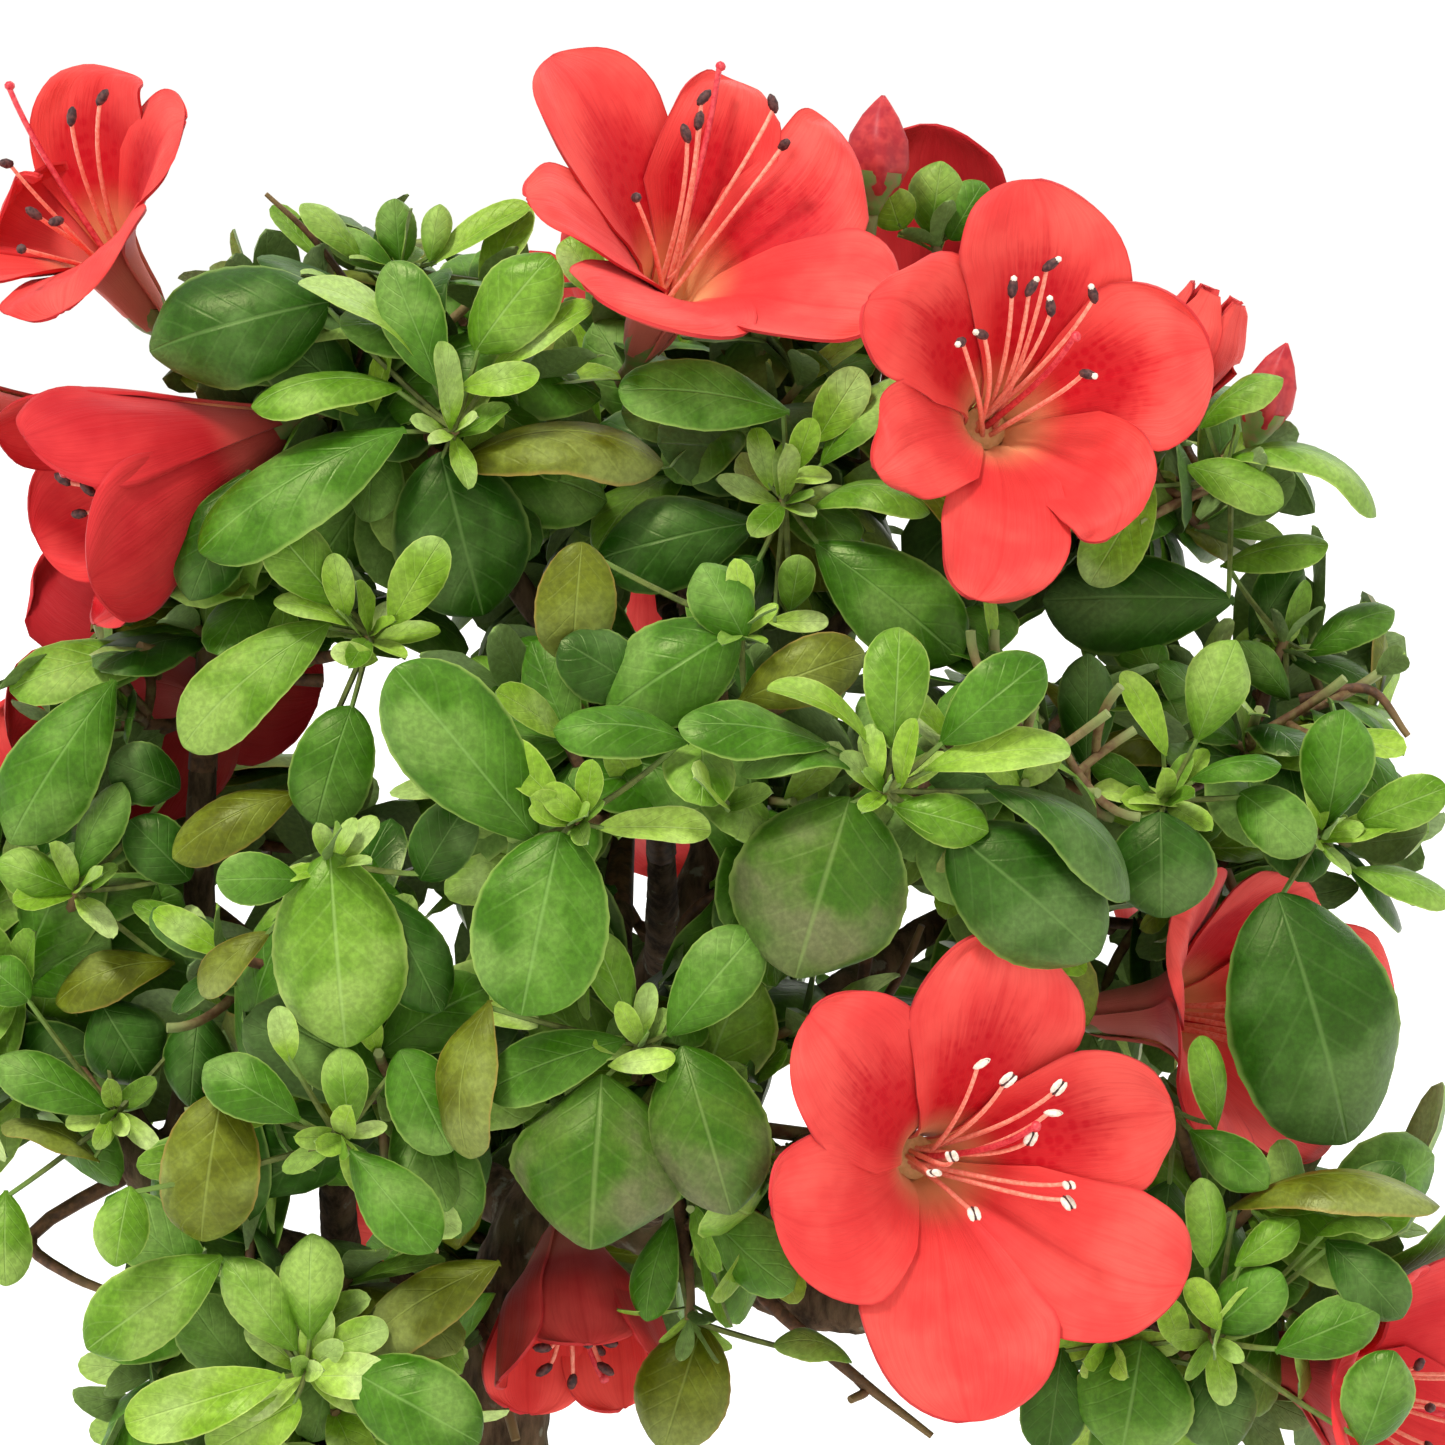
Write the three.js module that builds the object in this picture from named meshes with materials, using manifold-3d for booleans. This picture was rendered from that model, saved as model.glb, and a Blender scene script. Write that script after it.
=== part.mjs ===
// A small evergreen azalea shrub in flower, rooted in level ground.
// Millimetres, +Z up. The origin is the middle of the flat cut under the trunk, and -Y faces the viewer.
import * as THREE from "three";
import Module from "manifold-3d";

const wasm = await Module();
wasm.setup();

// Driving dimensions
const CLEAR = 0.3; // gap left where one solid meets the next

// Trunk: a place on its axis and the radius there, from the ground up
const TRUNK_SIDES = 15;
const TRUNK_STEPS = 12;
const TRUNK_STATIONS = [
  [0, 0, 0, 12.5],
  [-3, 0, 16, 10.4],
  [-7.5, 0, 40, 9],
  [-10.8, 0, 65, 8.5],
  [-6.4, 0, 86, 7.8],
  [-0.7, 0, 101, 6.9],
  [5.1, 0, 111, 5.8],
  [13, -2, 131, 4.2],
  [18.3, -2, 144, 3.5],
  [21.2, -2, 151, 3.1],
  [20.6, 0, 160, 2.7],
  [18.1, 0, 187, 1.9],
];
const FLARE_ROOTS = 5; // surface roots that swell out of the foot
const FLARE_REACH = 0.55; // how far they stand out, as a share of the radius
const FLARE_HEIGHT = 9; // height over which the swelling dies away

// Boughs: the mass that each feeds, the limb that it leaves and how far up that limb (0 to 1),
// its radii, and the places that it passes. Without such places it follows an even arc.
const BOUGH_SIDES = 5;
const BOUGH_STEP = 13; // length of one facet along a bough
const BOUGH_SAG = 0.1; // how far the even arc hangs below the straight line, as a share of its length
const BOUGH_END = 0.62; // a bough ends this far from its mass's middle, as a share of the radius
const BOUGHS = [
  { to: "left_low", from: "trunk", at: 0.33, radii: [6.2, 3.6], via: [[-24, -4, 86], [-53, -4, 99]] },
  { to: "low_left", from: "trunk", at: 0.24, radii: [4.2, 2.6], via: [[-20, -20, 56]] },
  { to: "low_back", from: "trunk", at: 0.27, radii: [4.4, 2.8], via: [[-16, 22, 72]] },
  { to: "low_right", from: "trunk", at: 0.47, radii: [6, 3.2], via: [[16, -6, 97], [40, -11, 87]] },
  { to: "back_left", from: "trunk", at: 0.43, radii: [4.6, 2.6] },
  { to: "back", from: "trunk", at: 0.53, radii: [4.6, 2.6] },
  { to: "back_right", from: "trunk", at: 0.6, radii: [4, 2.4] },
  { to: "front", from: "trunk", at: 0.66, radii: [3.2, 2] },
  { to: "right", from: "trunk", at: 0.74, radii: [3.2, 2.2], via: [[34, -6, 147], [48, -4, 149]] },
  { to: "top_left", from: "trunk", at: 0.83, radii: [2.6, 1.8], via: [[8, -3, 173], [-4, -6, 186]] },
  { to: "top_right", from: "trunk", at: 0.9, radii: [2, 1.6], via: [[40, -2, 184]] },
  { to: "back_top", from: "trunk", at: 0.87, radii: [2.2, 1.7] },
  { to: "low_front", from: "low_right", at: 0.2, radii: [3, 2] },
  { to: "front_left", from: "left_low", at: 0.42, radii: [3.4, 2.2] },
  { to: "front_right", from: "right", at: 0.45, radii: [2.4, 1.8] },
  { to: "left_up", from: "left_low", at: 0.72, radii: [3, 2], via: [[-52, 0, 128], [-52, -6, 150]] },
];

// Masses of foliage: middle, radius, the seed of their draws, and the tips of the shoots that lead on
// the side in view. "top" has no bough of its own: the trunk's tip runs into it.
const MASSES = {
  top_left: { middle: [-24, -15, 218], radius: 32, seed: 79, leads: [[-14, -38, 213], [-22, -15, 238]] },
  top: { middle: [24, 0, 212], radius: 32, seed: 76, leads: [[32, -34, 204]] },
  top_right: { middle: [74, 0, 208], radius: 32, seed: 39, leads: [[93, -15, 202]] },
  left_up: { middle: [-50, -12, 184], radius: 32, seed: 47, leads: [[-26, -38, 184]] },
  front: { middle: [14, -52, 165], radius: 33, seed: 13, leads: [[5, -75, 160]] },
  front_right: { middle: [60, -48, 166], radius: 32, seed: 25, leads: [[46, -72, 168]] },
  right: {
    middle: [98, -6, 165],
    radius: 33,
    seed: 77,
    leads: [[86, -32, 162], [108, -15, 158], [106, 0, 182]],
  },
  left_low: { middle: [-82, -6, 138], radius: 35, seed: 60, leads: [[-68, -32, 148], [-76, -32, 118]] },
  front_left: { middle: [-32, -48, 130], radius: 33, seed: 44, leads: [[-30, -68, 120]] },
  low_left: { middle: [-40, -38, 84], radius: 30, seed: 67, leads: [[-34, -60, 86]] },
  low_right: { middle: [92, -20, 98], radius: 35, seed: 47, leads: [[89, -46, 90], [91, -38, 117]] },
  low_front: { middle: [22, -50, 120], radius: 28, seed: 42, leads: [[12, -70, 131]] },
  back_top: { middle: [12, 42, 200], radius: 34, seed: 34, leads: [] },
  back_left: { middle: [-56, 44, 140], radius: 36, seed: 23, leads: [] },
  back_right: { middle: [70, 46, 142], radius: 36, seed: 79, leads: [] },
  back: { middle: [8, 66, 150], radius: 36, seed: 39, leads: [] },
  low_back: { middle: [-6, 58, 96], radius: 32, seed: 40, leads: [] },
};
const CROWN_MIDDLE = [8, 0, 150];
const SHOOTS_PER_MASS = 5;
const SHOOT_TRIES = 400;
const SHOOT_SPACING = 21; // least distance between two shoot tips
const SHOOT_INSET = 11; // shoot tips stay this far inside the radius, leaves reach past them
const SHOOT_CELL_MARGIN = 5; // shoot tips keep this far inside their mass's space
const SHOOT_LEAST_REACH = 0.3; // no tip lies nearer to the middle, as a share of the radius
const SHOOT_INWARD = [-0.55, -0.05]; // a shoot may point into the crown down to a limit drawn from these
const SHOOT_LIFT = 0.35; // how much a shoot turns up
const SHOOT_OUTWARD = 0.4; // how much it turns out of the crown
const SHOOT_BEND = 0.4; // share of a shoot that is its straight end
const LEAF_OVERREACH = 6; // leaf tips may pass the radius by this much
const CELL_MARGIN = 0.25; // what a mass keeps clear of the plane to its neighbour's space
const LIMB_MARGIN = 1; // what twigs and leaves keep clear of trunk and boughs

// Twigs, three-sided
const STEM_RADIUS = 2.2;
const STEM_TAPER = 0.8;
const STEM_RUN = 0.4; // share of its way that the stem runs straight on from the bough
const STEM_TURN = 0.2; // how far its bend is then pulled to the mass's middle
const STEM_JOINTS = [0.25, 0.5, 0.75, 0.97]; // where twigs may leave it past the bend
const TWIG_JOINTS = [0.45, 0.85]; // where twigs may leave another twig before its bend
const TWIG_RADII = [1.2, 1.1];
const STALK_RADII = [1.1, 2.1]; // a flower stalk widens to its green cup
const STALK_STRAIGHT = 8;
const STALK_BEND = 0.9; // where a stalk's way to its straight end is tested for clearance
const BUD_SIDES = 5;
const BUD_SHAPE = [[0, 0.3], [0.35, 1], [0.75, 0.6], [1, 0.1]]; // shares of a bud's length and radius

// Leaves
const LEAF_LENGTH = 33;
const LEAF_LENGTH_SPREAD = 2;
const LEAF_THICKNESS = 0.9; // ridge over the line between the two sides
const LEAF_WIDTH = 0.57; // this and the next three as shares of the length
const LEAF_ARCH = 0.1;
const LEAF_DROOP = 0.14;
const LEAF_FOLD = 0.05;
const LEAF_ROOT_DEPTH = 0.5; // the root goes this far past the twig's axis
const LEAF_WIDEST = 0.56; // where a leaf is widest, as a share of its length
const LEAF_RIDGE = 0.45; // where its ridge is highest
const OUTER_LEAVES = { count: 4, leastSpread: 75, mostSpread: 95 }; // degrees off the shoot
const INNER_LEAVES = { count: 2, leastSpread: 45, mostSpread: 60 };
const ROSETTE_LENGTH = 8; // the leaves leave the last stretch of a shoot
const GOLDEN_ANGLE = THREE.MathUtils.degToRad(137.508);
const LEAF_TRIES = 12;
const LEAF_SHRINK = 0.035; // each new try is shorter by this share
const LEAF_TRY_TURN = 0.5; // and turned by this angle
const LEAF_GAP = 2.6; // what the blades of one mass keep from each other

// Blooms: funnels of joined petals, their base on the flower stalk and their mouth along "aim"
const PETAL_WALL = 0.9;
const TUBE_SHARE = 0.45; // height of the tube's ring, as a share of the bloom's height
const THROAT_SHARE = 0.7; // height of the throat's ring
const PETAL_ROUNDING = 0.7; // under 1, petals are broader at their ends
const OPEN = {
  height: 33,
  base: 2.2,
  tube: 5,
  throat: 12,
  notch: 17,
  notchHeight: 26,
  lobe: 30,
  lobes: 5,
  perLobe: 3,
};
const FINE = { ...OPEN, perLobe: 4 };
const SIX = { ...FINE, lobe: 31, lobes: 6 };
const HALF = { ...OPEN, height: 34, tube: 4.6, throat: 9, notch: 13, lobe: 19, notchHeight: 27 };
const SMALL = { ...OPEN, height: 24, base: 2, tube: 4, throat: 8, notch: 10, lobe: 14, notchHeight: 18 };
const BUD = { ...OPEN, height: 25, base: 2, throat: 6.6, notch: 3, lobe: 4.4, notchHeight: 22 };
const BLOOMS = [
  { name: "front", form: SIX, mouth: [58, -72, 113], aim: [0.36, -0.93, 0], turn: 8 },
  { name: "top", form: FINE, mouth: [22, -34, 245], aim: [0.33, -0.68, 0.66], turn: 20 },
  { name: "top_right", form: SIX, lobe: 28, mouth: [66, -52, 218], aim: [0.28, -0.93, 0.22], turn: 0 },
  { name: "top_left", form: FINE, lobe: 28, mouth: [-74, -12, 249], aim: [-0.45, -0.6, 0.66], turn: 0 },
  { name: "left_edge", form: OPEN, lobe: 24, mouth: [-100, -26, 216], aim: [-0.85, -0.5, 0.1], turn: 30 },
  { name: "left_bell", form: HALF, mouth: [-70, -36, 201], aim: [-0.9, -0.25, -0.34], turn: 10 },
  { name: "behind_top", form: OPEN, lobe: 25, mouth: [57, 24, 238], aim: [0.3, 0.6, 0.74], turn: 0 },
  { name: "right", form: OPEN, mouth: [101, -24, 131], aim: [0.75, -0.6, 0.1], turn: 15 },
  { name: "low_right", form: OPEN, lobe: 25, mouth: [121, -34, 78], aim: [0.8, -0.5, -0.1], turn: 0 },
  { name: "drooping", form: SMALL, mouth: [3, -31, 79], aim: [0.1, -0.5, -0.85], turn: 0 },
  { name: "behind_left", form: OPEN, lobe: 25, mouth: [-60, 28, 176], aim: [-0.35, 0.9, 0.1], turn: 0 },
  { name: "bud_right", form: BUD, mouth: [93, -4, 231], aim: [0.4, -0.1, 0.9], turn: 0 },
];
// The far side carries one bloom on each of these masses, facing straight out of the crown.
const BACK_BLOOM_MASSES = ["back_top", "back_left", "back_right", "back", "low_back", "left_low"];
const BACK_BLOOM_LOBE = 26;
const BACK_BLOOM_LEAN = 20; // how far they turn to the back
const BACK_BLOOM_TILT = 0.25; // how far they look up
const BACK_BLOOM_INSET = 28; // their base lies this far inside the mass's radius
const BLOOM_MARGIN = 1.5; // what twigs and leaves keep clear of a bloom's space
const BLOOM_SPACE_BELOW = 4; // the space starts this far under the base and ends this far over the rim
const BLOOM_SPACE_ABOVE = 3;
const BLOOM_SHOULDER = [0.8, 0.85]; // shares of height and lobe where the space is almost at its widest

// Closed buds, fused to their twigs: base, direction, length and widest radius
const BUDS = [
  { mass: "top", base: [44, -6, 244], aim: [0.1, 0, 1], length: 15, radius: 4.4 },
  { mass: "top_right", base: [98, -10, 211], aim: [0.3, -0.2, 0.9], length: 14, radius: 3.6 },
];

const COLOURS = {
  bark: 0x4a3a2c,
  petal: 0xe8453c,
  leaves: [0x3f7d33, 0x356f30, 0x4a8a39, 0x5a9440],
};

// General helpers

const UP = new THREE.Vector3(0, 0, 1);
const vector = (values) => new THREE.Vector3(...values);
const mix = THREE.MathUtils.lerp;

// A repeatable stream of draws between 0 and 1.
function drawsFrom(seed) {
  let state = seed >>> 0;
  return () => {
    state = (state + 0x6d2b79f5) >>> 0;
    let word = Math.imul(state ^ (state >>> 15), state | 1);
    word ^= word + Math.imul(word ^ (word >>> 7), word | 61);
    return ((word ^ (word >>> 14)) >>> 0) / 4294967296;
  };
}

function solidFrom(points, faces) {
  const made = new wasm.Manifold(
    new wasm.Mesh({
      numProp: 3,
      vertProperties: new Float32Array(points.flatMap((p) => [p.x, p.y, p.z])),
      triVerts: new Uint32Array(faces.flat()),
    }),
  );
  if (made.volume() <= 0) {
    throw new Error("a solid came out empty or inside out");
  }
  return made;
}

// A closed solid through rings of equal count, each listed anticlockwise round the way ahead.
function solidThroughRings(rings) {
  const count = rings[0].length;
  const faces = [];
  for (let ring = 0; ring + 1 < rings.length; ring++) {
    for (let side = 0; side < count; side++) {
      const a = ring * count + side;
      const b = ring * count + ((side + 1) % count);
      faces.push([a, b, b + count], [a, b + count, a + count]);
    }
  }
  const last = (rings.length - 1) * count;
  for (let side = 1; side + 1 < count; side++) {
    faces.push([0, side + 1, side], [last, last + side, last + side + 1]);
  }
  return solidFrom(rings.flat(), faces);
}

// The largest body of a solid, with sealed hollows filled and loose scraps dropped.
function largestBody(solid) {
  const bodies = solid.decompose();
  return bodies.reduce((best, body) => (body.volume() > best.volume() ? body : best));
}

function geometryOf(solid) {
  const mesh = solid.getMesh();
  const geometry = new THREE.BufferGeometry();
  const places = new Float32Array(mesh.numVert * 3);
  for (let i = 0; i < mesh.numVert; i++) {
    places.set(mesh.vertProperties.subarray(i * mesh.numProp, i * mesh.numProp + 3), i * 3);
  }
  geometry.setAttribute("position", new THREE.BufferAttribute(places, 3));
  geometry.setIndex(new THREE.BufferAttribute(new Uint32Array(mesh.triVerts), 1));
  return geometry;
}

// A direction square to another.
function awayFrom(ahead) {
  const helper = Math.abs(ahead.x) > 0.8 ? new THREE.Vector3(0, 1, 0) : new THREE.Vector3(1, 0, 0);
  return helper.addScaledVector(ahead, -helper.dot(ahead)).normalize();
}

// Frames along a line of places: at each, the way ahead and two directions across it, without twist.
function framesAlong(places, firstAhead) {
  const frames = [];
  const last = places.length - 1;
  let across = null;
  let before = null;
  places.forEach((place, i) => {
    const next = places[Math.min(i + 1, last)];
    const ahead = next.clone().sub(places[Math.max(i - 1, 0)]).normalize();
    if (i === 0 && firstAhead) {
      ahead.copy(firstAhead);
    }
    if (across === null) {
      across = awayFrom(ahead);
    } else {
      const turn = new THREE.Quaternion().setFromUnitVectors(before, ahead);
      across = across.clone().applyQuaternion(turn);
    }
    before = ahead;
    frames.push({ place, ahead, across, over: new THREE.Vector3().crossVectors(ahead, across) });
  });
  return frames;
}

function ringAt(frame, radius, sides, swell = () => 1) {
  return Array.from({ length: sides }, (_, side) => {
    const angle = (side / sides) * 2 * Math.PI;
    const reach = radius * swell(angle, frame.place);
    return frame.place
      .clone()
      .addScaledVector(frame.across, reach * Math.cos(angle))
      .addScaledVector(frame.over, reach * Math.sin(angle));
  });
}

// Trunk and boughs

// Places and radii at even steps along a smooth curve through the stations.
function limbAxis(places, radii, steps) {
  const curve = new THREE.CatmullRomCurve3(places, false, "centripetal");
  return Array.from({ length: steps + 1 }, (_, step) => {
    const share = step / steps;
    const along = share * (places.length - 1);
    const index = Math.min(Math.floor(along), places.length - 2);
    return {
      place: curve.getPoint(share),
      radius: mix(radii[index], radii[index + 1], along - index),
    };
  });
}

function limbSolid(axis, sides, grow, firstAhead, swell) {
  const frames = framesAlong(axis.map((station) => station.place), firstAhead);
  const rings = frames.map((frame, i) => ringAt(frame, axis[i].radius + grow, sides, swell));
  return solidThroughRings(rings);
}

// The foot of the trunk swells into surface roots.
function rootFlare(angle, place) {
  const root = 0.5 + 0.5 * Math.cos(FLARE_ROOTS * angle + 0.6);
  return 1 + FLARE_REACH * root * Math.exp(-place.z / FLARE_HEIGHT);
}

function makeTrunk() {
  const places = TRUNK_STATIONS.map((station) => vector(station.slice(0, 3)));
  const radii = TRUNK_STATIONS.map((station) => station[3]);
  const axis = limbAxis(places, radii, TRUNK_STEPS);
  return {
    axis,
    solid: limbSolid(axis, TRUNK_SIDES, 0, UP, rootFlare),
    around: limbSolid(axis, TRUNK_SIDES, CLEAR, UP, rootFlare),
  };
}

function placeOnLimb(limb, share) {
  const along = share * (limb.axis.length - 1);
  const index = Math.min(Math.floor(along), limb.axis.length - 2);
  return limb.axis[index].place.clone().lerp(limb.axis[index + 1].place, along - index);
}

// A bough starts on its parent's axis, and the parent's own space is cut out of it.
function makeBough(bough, limbs) {
  const parent = limbs[bough.from];
  const mass = MASSES[bough.to];
  const middle = vector(mass.middle);
  const start = placeOnLimb(parent, bough.at);
  const via = (bough.via ?? []).map(vector);
  const before = via.at(-1) ?? start;
  const end = before.clone().sub(middle).setLength(mass.radius * BOUGH_END).add(middle);
  if (via.length === 0) {
    const length = start.distanceTo(end);
    via.push(start.clone().lerp(end, 0.5).addScaledVector(UP, -BOUGH_SAG * length));
  }
  const places = [start, ...via, end];
  const radii = places.map((_, i) => mix(bough.radii[0], bough.radii[1], i / (places.length - 1)));
  const length = places.slice(1).reduce((sum, place, i) => sum + place.distanceTo(places[i]), 0);
  const axis = limbAxis(places, radii, Math.ceil(length / BOUGH_STEP));
  return {
    axis,
    solid: largestBody(limbSolid(axis, BOUGH_SIDES, 0).subtract(parent.around)),
    around: limbSolid(axis, BOUGH_SIDES, CLEAR),
  };
}

// Clearance tests

function gapToLimbs(place, limbs) {
  let gap = Infinity;
  const line = new THREE.Line3();
  const nearest = new THREE.Vector3();
  for (const { axis } of limbs) {
    for (let i = 0; i + 1 < axis.length; i++) {
      line.set(axis[i].place, axis[i + 1].place);
      const share = line.closestPointToPointParameter(place, true);
      line.at(share, nearest);
      gap = Math.min(gap, nearest.distanceTo(place) - mix(axis[i].radius, axis[i + 1].radius, share));
    }
  }
  return gap;
}

// How far a bloom's space reaches from its axis at a height above its base, or nothing.
function bloomReach({ form }, height) {
  const marks = [
    [-BLOOM_SPACE_BELOW, form.base],
    [0, form.base],
    [TUBE_SHARE * form.height, form.tube],
    [THROAT_SHARE * form.height, form.throat],
    [BLOOM_SHOULDER[0] * form.height, BLOOM_SHOULDER[1] * form.lobe],
    [form.height + BLOOM_SPACE_ABOVE, form.lobe],
  ];
  for (let i = 0; i + 1 < marks.length; i++) {
    const [low, lowReach] = marks[i];
    const [high, highReach] = marks[i + 1];
    if (height >= low && height <= high) {
      return mix(lowReach, highReach, (height - low) / (high - low));
    }
  }
  return null;
}

function meetsBloom(place, blooms) {
  return blooms.some((bloom) => {
    const offset = place.clone().sub(bloom.base);
    const height = offset.dot(bloom.aim);
    const reach = bloomReach(bloom, height);
    if (reach === null) {
      return false;
    }
    return offset.addScaledVector(bloom.aim, -height).length() < reach + BLOOM_MARGIN;
  });
}

// The spaces of the masses are parted by planes: a place belongs to the mass for which this is least.
function pull(name, place) {
  const { middle, radius } = MASSES[name];
  return place.distanceToSquared(vector(middle)) - radius ** 2;
}

function massAt(place) {
  return Object.keys(MASSES).reduce((best, name) => (pull(name, place) < pull(best, place) ? name : best));
}

// How far a place lies inside the nearest plane that parts its mass from a neighbour.
function insideMass(name, place) {
  const own = pull(name, place);
  const middle = vector(MASSES[name].middle);
  const depths = Object.keys(MASSES)
    .filter((other) => other !== name)
    .map((other) => (pull(other, place) - own) / (2 * middle.distanceTo(vector(MASSES[other].middle))));
  return Math.min(...depths);
}

// Twigs and leaves

function twigSolid(places, radii, firstAhead) {
  const frames = framesAlong(places, firstAhead);
  return solidThroughRings(frames.map((frame, i) => ringAt(frame, radii[i], 3)));
}

// A leaf has six faces: root, tip and two sides, with a ridge over a folded underside.
function leafPoints(root, ahead, face, length) {
  const side = new THREE.Vector3().crossVectors(ahead, face);
  const at = (forward, sideways, lift) =>
    root
      .clone()
      .addScaledVector(ahead, forward * length)
      .addScaledVector(side, sideways)
      .addScaledVector(face, lift);
  const halfWidth = (LEAF_WIDTH * length) / 2;
  const sideLift = (LEAF_ARCH - LEAF_FOLD) * length;
  return [
    at(0, 0, 0),
    at(LEAF_WIDEST, halfWidth, sideLift),
    at(1, 0, -LEAF_DROOP * length),
    at(LEAF_WIDEST, -halfWidth, sideLift),
    at(LEAF_RIDGE, 0, sideLift + LEAF_THICKNESS),
  ];
}
const LEAF_FACES = [
  [0, 1, 4],
  [1, 2, 4],
  [2, 3, 4],
  [3, 0, 4],
  [0, 3, 1],
  [1, 3, 2],
];

// Places spread over a leaf, for the clearance tests: those of its outer part, then those by its root.
function leafSamples([root, left, tip, right, ridge]) {
  const along = (pairs, shares) =>
    shares.flatMap((share) => pairs.map(([from, to]) => from.clone().lerp(to, share)));
  const outerPairs = [
    [ridge, tip],
    [ridge, left],
    [ridge, right],
    [left, tip],
    [right, tip],
  ];
  const rootPairs = [
    [root, ridge],
    [root, left],
    [root, right],
  ];
  return { blade: along(outerPairs, [0.25, 0.5, 0.75, 1]), foot: along(rootPairs, [0.4, 0.7, 1]) };
}

// A leaf's outer part keeps off the other leaves and the twigs of its mass.
function bladeApart(blade, { blades, lines }) {
  const apartFrom = (other) =>
    other.every((theirs) => blade.every((ours) => ours.distanceToSquared(theirs) > LEAF_GAP ** 2));
  const segment = new THREE.Line3();
  const nearest = new THREE.Vector3();
  const offLine = (line) =>
    line.slice(1).every((end, i) => {
      segment.set(line[i], end);
      return blade.every((place) => {
        segment.closestPointToPoint(place, true, nearest);
        return nearest.distanceToSquared(place) > LEAF_GAP ** 2;
      });
    });
  return lines.every(offLine) && blades.every(apartFrom);
}

// A leaf fits if it stays in its mass's space and clear of limbs and blooms.
function leafFits(name, points, samples, { limbs, blooms }) {
  const { middle, radius } = MASSES[name];
  const reach = radius + LEAF_OVERREACH;
  return (
    points.every((p) => insideMass(name, p) > CELL_MARGIN && p.distanceTo(vector(middle)) < reach) &&
    samples.every((p) => gapToLimbs(p, limbs) > LIMB_MARGIN && !meetsBloom(p, blooms))
  );
}

// The leaves round a shoot's tip: outer ones spread, inner ones half raised. A leaf that doesn't fit is
// tried again, turned and shorter, and then skipped.
function rosette(name, tip, ahead, draw, around) {
  const across = awayFrom(ahead);
  const over = new THREE.Vector3().crossVectors(ahead, across);
  const total = OUTER_LEAVES.count + INNER_LEAVES.count;
  const firstTurn = draw() * 2 * Math.PI;
  const leaves = [];
  for (let i = 0; i < total; i++) {
    const { leastSpread, mostSpread } = i < OUTER_LEAVES.count ? OUTER_LEAVES : INNER_LEAVES;
    for (let attempt = 0; attempt < LEAF_TRIES; attempt++) {
      const turn = firstTurn + i * GOLDEN_ANGLE + attempt * LEAF_TRY_TURN;
      const spread = THREE.MathUtils.degToRad(mix(leastSpread, mostSpread, draw()));
      const fullLength = LEAF_LENGTH + LEAF_LENGTH_SPREAD * (2 * draw() - 1);
      const length = fullLength * (1 - LEAF_SHRINK * attempt);
      const out = across
        .clone()
        .multiplyScalar(Math.cos(turn))
        .addScaledVector(over, Math.sin(turn));
      const forward = ahead
        .clone()
        .multiplyScalar(Math.cos(spread))
        .addScaledVector(out, Math.sin(spread));
      const face = ahead
        .clone()
        .multiplyScalar(Math.sin(spread))
        .addScaledVector(out, -Math.cos(spread));
      const depth = (ROSETTE_LENGTH * (total - i)) / (total + 1);
      const root = tip
        .clone()
        .addScaledVector(ahead, -depth)
        .addScaledVector(forward, -LEAF_ROOT_DEPTH);
      const points = leafPoints(root, forward, face, length);
      const { blade, foot } = leafSamples(points);
      if (bladeApart(blade, around) && leafFits(name, points, [...blade, ...foot], around)) {
        around.blades.push(blade);
        leaves.push(points);
        break;
      }
    }
  }
  return leaves;
}

// A twig's line is clear if it keeps off limbs and blooms and stays in its mass's space. Its first
// stretch lies in the twig that carries it and isn't tested.
function twigClear(name, [joint, bend, tip], limbs, blooms) {
  const between = (from, to, shares) => shares.map((share) => from.clone().lerp(to, share));
  const places = [
    ...between(joint, bend, [0.3, 0.4, 0.5, 0.6, 0.7, 0.8, 0.9, 1]),
    ...between(bend, tip, [0.1, 0.2, 0.3, 0.4, 0.5, 0.6, 0.7, 0.8, 0.9]),
  ];
  return places.every(
    (place) =>
      gapToLimbs(place, limbs) > TWIG_RADII[0] + LIMB_MARGIN &&
      !meetsBloom(place, blooms) &&
      insideMass(name, place) > TWIG_RADII[0] + CELL_MARGIN,
  );
}

// The free joint on the mass's branching that suits a tip best. A joint carries one twig, which brings
// two new joints.
function takeJoint(name, joints, tip, bendOf, limbs, blooms) {
  const sorted = [...joints].sort((a, b) => a.distanceTo(tip) - b.distanceTo(tip));
  const joint = sorted.find((place) => twigClear(name, [place, bendOf(place), tip], limbs, blooms));
  if (joint) {
    joints.splice(joints.indexOf(joint), 1);
    const bend = bendOf(joint);
    joints.push(...TWIG_JOINTS.map((share) => joint.clone().lerp(bend, share)));
  }
  return joint;
}

// The way out of the crown at the middle of a mass.
function outwardAt(name) {
  return vector(MASSES[name].middle).sub(vector(CROWN_MIDDLE)).normalize();
}

function drawnDirection(draw) {
  const height = 2 * draw() - 1;
  const turn = 2 * Math.PI * draw();
  const level = Math.sqrt(1 - height ** 2);
  return new THREE.Vector3(level * Math.cos(turn), level * Math.sin(turn), height);
}

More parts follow.
